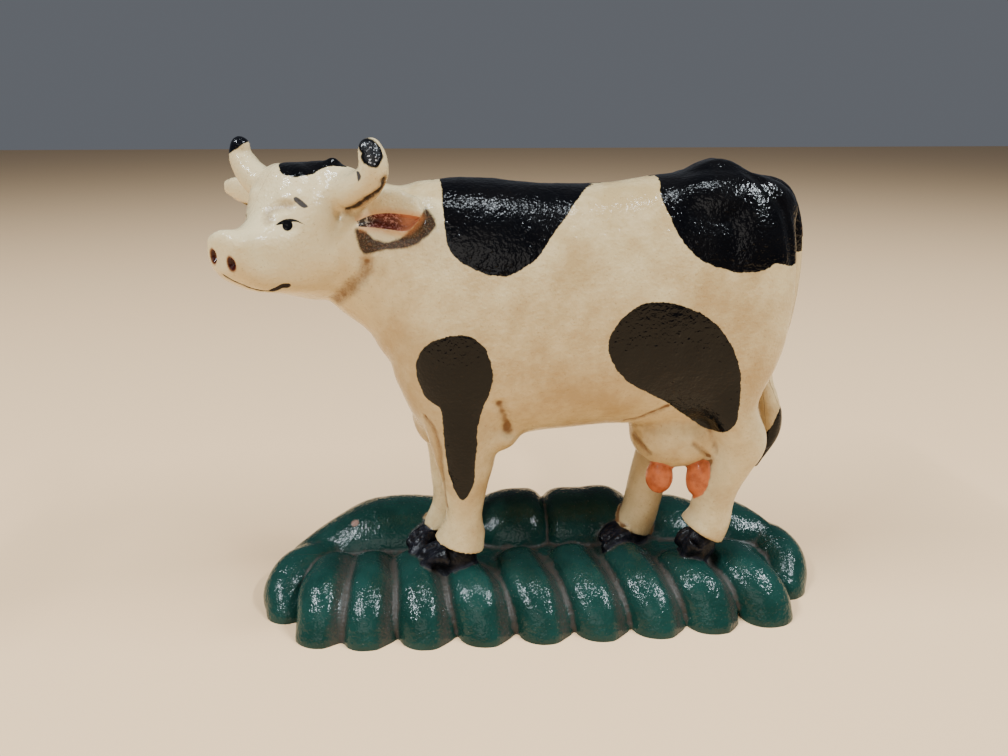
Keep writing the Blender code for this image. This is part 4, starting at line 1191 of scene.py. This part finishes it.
def painted_iron(name):
    finish, tree, shader, where = new_finish(name)
    wobble = maths(tree, "MULTIPLY_ADD", noise(tree, where, 420.0, 2.0), 1.1, -0.55)
    frayed = maths(tree, "MULTIPLY_ADD", noise(tree, where, 2200.0, 2.0), 0.5, -0.25)
    wobble = maths(tree, "ADD", wobble, frayed)

    def covers(name, soft=0.14, shift=0.0, ragged=1.0):
        wavy = maths(tree, "MULTIPLY_ADD", wobble, ragged, area(tree, name))
        return between(tree, wavy, -soft - shift, soft - shift)

    hollow = area(tree, "hollow")
    broad = area(tree, "broad_hollow")
    grime = noise(tree, where, 260.0, 4.0)
    speckle = noise(tree, where, 1300.0, 3.0)
    cream_tone = between(tree, noise(tree, where, 38.0, 5.0, 0.7), 0.32, 0.68)
    cream = mix(tree, cream_tone, colour(208, 187, 143), colour(178, 150, 104))
    cream = mix(tree, maths(tree, "MULTIPLY", area(tree, "head"), 0.7), cream, colour(214, 195, 152))
    freckles = between(tree, speckle, 0.60, 0.72, 0.0, 0.35)
    cream = mix(tree, freckles, cream, colour(132, 96, 52))
    # Brown wash and painted shade: darker brown in fine hollows, in broad hollows and along the creases.
    thin = between(tree, maths(tree, "MULTIPLY_ADD", grime, 0.16, hollow), 0.13, 0.34, 0.0, 0.9)
    wide = between(tree, maths(tree, "MULTIPLY_ADD", grime, 0.9, broad), 0.85, 1.9, 0.0, 0.4)
    settled = maths(tree, "MULTIPLY_ADD", maths(tree, "SUBTRACT", grime, 0.5), 0.9, area(tree, "settled"))
    settled = maths(tree, "MULTIPLY_ADD", maths(tree, "SUBTRACT", speckle, 0.5), 0.5, settled)
    settled = between(tree, settled, 0.05, 1.35, 0.0, 0.95)
    wash_and_shade = maths(tree, "MAXIMUM", maths(tree, "MAXIMUM", thin, wide), settled)
    cream = mix(tree, wash_and_shade, cream, colour(104, 64, 28))
    green_tone = between(tree, noise(tree, where, 60.0, 3.0), 0.3, 0.7)
    green = mix(tree, green_tone, colour(8, 44, 38), colour(20, 58, 52))
    # Dirt and painted shade in the grooves between the lobes and on their right flanks turn the green
    # grey-brown.
    dirt_and_shade = between(tree, maths(tree, "MULTIPLY_ADD", grime, 0.5, hollow), 0.24, 0.56, 0.0, 0.9)
    flank_dust_and_shade = maths(tree, "MULTIPLY_ADD", maths(tree, "SUBTRACT", speckle, 0.5), 2.2, area(tree, "lobe_flank"))
    dirt_and_shade = maths(tree, "MAXIMUM", dirt_and_shade, between(tree, flank_dust_and_shade, 0.1, 1.3, 0.06, 0.8))
    green = mix(tree, dirt_and_shade, green, colour(58, 52, 47))
    green = mix(tree, between(tree, speckle, 0.68, 0.74, 0.0, 0.5), green, colour(120, 130, 126))
    green = mix(tree, covers("mound_chip", 0.5, 0.0, 0.8), green, colour(136, 108, 96))
    base = mix(tree, covers("ground", 0.3), cream, green)
    black_tone = between(tree, noise(tree, where, 90.0, 3.0), 0.35, 0.7)
    black = mix(tree, black_tone, colour(2, 2, 4), colour(6, 5, 6))
    base = mix(tree, covers("black"), base, black)
    hoof = covers("hoof", 0.2, 0.0, 0.5)
    horn_tone = mix(tree, between(tree, grime, 0.4, 0.7), colour(8, 9, 15), colour(26, 26, 34))
    base = mix(tree, hoof, base, horn_tone)
    teat = mix(tree, between(tree, grime, 0.4, 0.7), colour(190, 104, 62), colour(158, 78, 42))
    base = mix(tree, covers("teat", 0.15, 0.0, 0.6), base, teat)
    # Painted shadow under the near horn: a dark brown line in its crease.
    base = mix(tree, covers("dark_line", 0.3, 0.0, 1.2), base, colour(38, 24, 16))
    # Painted shadow under the ear: stippled dark brown over the web.
    thinned = between(tree, speckle, 0.34, 0.5, 0.88, 1.0)
    ear_shadow = maths(tree, "MULTIPLY", covers("ear_web", 0.5, 0.0, 0.9), thinned)
    ear_shadow_tone = mix(tree, between(tree, speckle, 0.42, 0.66), colour(40, 28, 22), colour(88, 66, 48))
    base = mix(tree, ear_shadow, base, ear_shadow_tone)
    along = area(tree, "ear_along")
    lip = covers("ear_cup", 1.2, 1.2, 0.6)
    base = mix(tree, maths(tree, "MULTIPLY", lip, 0.45), base, colour(186, 112, 60))
    glints = between(tree, speckle, 0.5, 0.62)
    cup = mix(tree, glints, colour(94, 48, 42), colour(164, 116, 112))
    corner = mix(tree, glints, colour(44, 38, 34), colour(150, 140, 124))
    cup = mix(tree, between(tree, along, 22.0, 25.5), corner, cup)
    cup = mix(tree, between(tree, along, 30.0, 35.0), cup, colour(166, 104, 74))
    base = mix(tree, covers("ear_cup", 0.1, 0.0, 0.2), base, cup)
    for mark, soft, inset, ragged, tone in SMALL_MARKS:
        base = mix(tree, covers(mark, soft, inset, ragged), base, colour(*tone))
    scratched = mix(tree, between(tree, speckle, 0.56, 0.66), colour(30, 31, 34), colour(200, 202, 206))
    base = mix(tree, covers("worn_horn", 0.2, -0.1, 0.8), base, scratched)
    tree.links.new(base, shader.inputs["Base Color"])

    patchy = noise(tree, where, 70.0, 3.0)
    rough = between(tree, patchy, 0.3, 0.75, 0.12, 0.22)
    rough = maths(tree, "ADD", rough, maths(tree, "MULTIPLY", wash_and_shade, 0.35))
    rough = maths(tree, "ADD", rough, maths(tree, "MULTIPLY", hoof, 0.2))
    tree.links.new(rough, shader.inputs["Roughness"])
    shader.inputs["Specular IOR Level"].default_value = 0.23

    sand = noise(tree, where, 950.0, 1.5, 0.5)
    pimples = node(tree, "TexVoronoi", {"Vector": where, "Scale": 420.0}).outputs["Distance"]
    pimples = between(tree, pimples, 0.08, 0.3, 1.0, 0.0)
    relief = maths(tree, "MULTIPLY_ADD", pimples, 0.3, sand)
    rougher = maths(tree, "MAXIMUM", covers("ground", 1.0), covers("black", 1.0))
    relief = maths(tree, "MULTIPLY", relief, maths(tree, "MULTIPLY_ADD", rougher, 0.25, 0.75))
    bump = node(tree, "Bump", {"Height": relief, "Strength": 0.9, "Distance": 0.00027})
    tree.links.new(bump.outputs[0], shader.inputs["Normal"])
    return finish


# %% [markdown]
# ## Bare metal
# The cut faces and the hollows are bare iron with rust in patches, and the
# screws are darkened steel with stains. Both follow the same rule: a noise
# picks clean or stained metal, and the stained part is duller.

# %% The bare iron inside and the screws
def bare_metal(name, patches, clean, stained, rough, metallic, grain):
    """Patches are a noise's scale, detail and limits; grain is scale, detail, strength and height."""
    finish, tree, shader, where = new_finish(name)
    stain = between(tree, noise(tree, where, *patches[:2]), *patches[2:])
    tree.links.new(mix(tree, stain, colour(*clean), colour(*stained)), shader.inputs["Base Color"])
    tree.links.new(between(tree, stain, 0.0, 1.0, *rough), shader.inputs["Roughness"])
    shader.inputs["Metallic"].default_value = metallic
    height = noise(tree, where, *grain[:2])
    bump = node(tree, "Bump", {"Height": height, "Strength": grain[2], "Distance": grain[3]})
    tree.links.new(bump.outputs[0], shader.inputs["Normal"])
    return finish


PAINT = painted_iron("hand_painted_iron")
IRON = bare_metal("bare_cast_iron", (90.0, 5.0, 0.45, 0.62), (62, 58, 55), (104, 66, 42),
                  (0.55, 0.85), 0.35, (700.0, 5.0, 0.6, 0.0006))
STEEL = bare_metal("slotted_screw_steel", (600.0, 4.0, 0.4, 0.65), (120, 116, 110), (70, 52, 38),
                   (0.32, 0.7), 0.9, (1500.0, 3.0, 0.3, 0.0002))
print("finishes:", ", ".join(finish.name for finish in (PAINT, IRON, STEEL)))

# %% [markdown]
# ## Put the skin on its place and split it
# The drawing frame is moved on to the solids' box: both boxes are centred on
# each other and stand on the table. Points are kept inside the solids' box,
# so the finer skin never makes the object bigger. Each half is then cut out,
# and its painted areas are measured at its own points.

# %% Cut the halves
centre = (cad_high + cad_low) / 2 / MM
low, high = points.min(axis=0), points.max(axis=0)
shift = np.array([centre.x - (low[0] + high[0]) / 2, centre.y - (low[1] + high[1]) / 2, 0.0])
print("drawing frame moved by", shift.round(2), "mm")
write_points(skin.data, points)


def write_mark(mesh, name, values):
    """Stores a number at each point under a name that a shader can read."""
    if name not in mesh.attributes:
        mesh.attributes.new(name, "FLOAT", "POINT")
    mesh.attributes[name].data.foreach_set("value", values.astype(np.float32))


def read_mark(mesh, name):
    return read_rows(mesh.attributes[name].data, "value", 1)[:, 0].astype(float)


def dress(obj, finish):
    obj.data.materials.clear()
    obj.data.materials.append(finish)
    return obj


write_mark(skin.data, "hollow", fine_hollow)
write_mark(skin.data, "broad_hollow", broad_hollow)
write_mark(skin.data, "on_skin", np.ones(len(points)))
dress(skin, PAINT)


def half_casting(name, near):
    hand = -1 if near else 1
    half = skin.copy()
    half.data = skin.data.copy()
    half.name = name
    bpy.context.scene.collection.objects.link(half)
    body, under = cores(hand)
    cut(half, dress(parting_block("side", near), IRON), "INTERSECT")
    cut(half, dress(body, IRON))
    cut(half, dress(under, IRON))
    for place in SCREW_PLACES.values():
        if near:
            cut(half, dress(round_bar("tapped_hole", place, HOLE_RADIUS, -16.0, 5.0), IRON))
        else:
            cut(half, dress(round_bar("through_hole", place, HOLE_RADIUS, -5.0, 45.0), IRON))
            cut(half, dress(round_bar("head_seat", place, SEAT_RADIUS, 22.5, 45.0), IRON))
    mesh = half.data
    at = read_points(mesh)
    on_skin = read_mark(mesh, "on_skin") > 0.999
    print(name, "has", len(at), "points,", int((~on_skin).sum()), "of them on cut faces")
    for mark in ("hollow", "broad_hollow"):
        write_mark(mesh, mark, np.where(on_skin, read_mark(mesh, mark), 0.0))
    for mark, values in painted_areas(at).items():
        write_mark(mesh, mark, values)
    write_points(mesh, np.clip(at + shift, np.array(cad_low) / MM, np.array(cad_high) / MM))
    mesh.shade_smooth()
    mesh.set_sharp_from_angle(angle=SHARP_ANGLE)
    return half


near_half = half_casting("near_half_painted", True)
far_half = half_casting("far_half_painted", False)
bpy.data.objects.remove(skin, do_unlink=True)
for half, solid in ((near_half, "near_half_casting"), (far_half, "far_half_casting")):
    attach(half, "root")
    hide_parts(solid)
for name in SCREW_PLACES:
    dress(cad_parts[name], STEEL)

# %% [markdown]
# ## The table
# The doorstop stands on a pale, warm floor that is much larger than the view.
# It belongs to the stage, not to the object.

# %% Floor
FLOOR_REACH = 3
FLOOR_TONE = (0.90, 0.60, 0.33, 1)
corners = [(x * FLOOR_REACH, y * FLOOR_REACH, 0) for x, y in ((-1, -1), (1, -1), (1, 1), (-1, 1))]
floor_mesh = bpy.data.meshes.new("floor")
floor_mesh.from_pydata(corners, [], [(0, 1, 2, 3)])
floor = add_object("floor", floor_mesh)
floor.location.z = cad_low.z
floor_paint = bpy.data.materials.new("floor")
floor_paint.use_nodes = True
floor_shader = floor_paint.node_tree.nodes["Principled BSDF"]
floor_shader.inputs["Base Color"].default_value = FLOOR_TONE
floor_shader.inputs["Roughness"].default_value = 0.7
floor_mesh.materials.append(floor_paint)

# %% [markdown]
# ## Light
# Glossy paint is shown by what it mirrors. Two thin bright tubes give small
# glints on every grain of the casting, a weak lamp above and one in front
# fill the shadows, and a faint sky keeps the blacks dark.

# %% Lamps and sky
world = bpy.data.worlds.new("studio")
bpy.context.scene.world = world
world.use_nodes = True
sky = world.node_tree.nodes["Background"]
sky.inputs["Color"].default_value = (0.82, 0.88, 1.0, 1)
sky.inputs["Strength"].default_value = 0.15


def lamp(name, place, aim, size, power, tint):
    light = bpy.data.lights.new(name, "AREA")
    light.shape = "RECTANGLE"
    light.size, light.size_y = size
    light.energy = power
    light.color = tint
    obj = add_object(name, light)
    obj.location = place
    obj.rotation_euler = (Vector(aim) - Vector(place)).to_track_quat("-Z", "Y").to_euler()


COOL, WARM = (0.86, 0.94, 1.0), (1.0, 0.95, 0.88)
lamp("left_tube", (-0.88, -0.38, 1.15), (0, -0.3, 0.05), (0.8, 0.022), 26.0, COOL)
lamp("right_tube", (0.82, -0.35, 1.15), (0, -0.3, 0.05), (0.8, 0.022), 26.0, COOL)
lamp("ceiling", (0.0, -0.15, 1.4), (0, 0, 0.05), (0.3, 0.08), 7.0, COOL)
lamp("front_fill", (-0.4, -1.3, 0.7), (0, 0, 0.08), (1.0, 0.6), 3.5, WARM)

# %% [markdown]
# ## Camera
# The camera stands where the photographer held theirs: in front of the cow,
# left of the middle and above it, tipped down and turned a little.

# %% Camera
EYE_POINT = (Vector((-32.6, -251.2, 177.0)) + Vector(shift)) * MM
PITCH, YAW = math.radians(20.0), math.radians(4.0)
LENS, SENSOR = 27.04, 36.0
camera_data = bpy.data.cameras.new("camera")
camera_data.lens = LENS
camera_data.sensor_width = SENSOR
camera_data.clip_start = 0.01
camera = add_object("camera", camera_data)
camera.location = EYE_POINT
camera.rotation_euler = (math.pi / 2 - PITCH, 0.0, -YAW)
bpy.context.scene.camera = camera
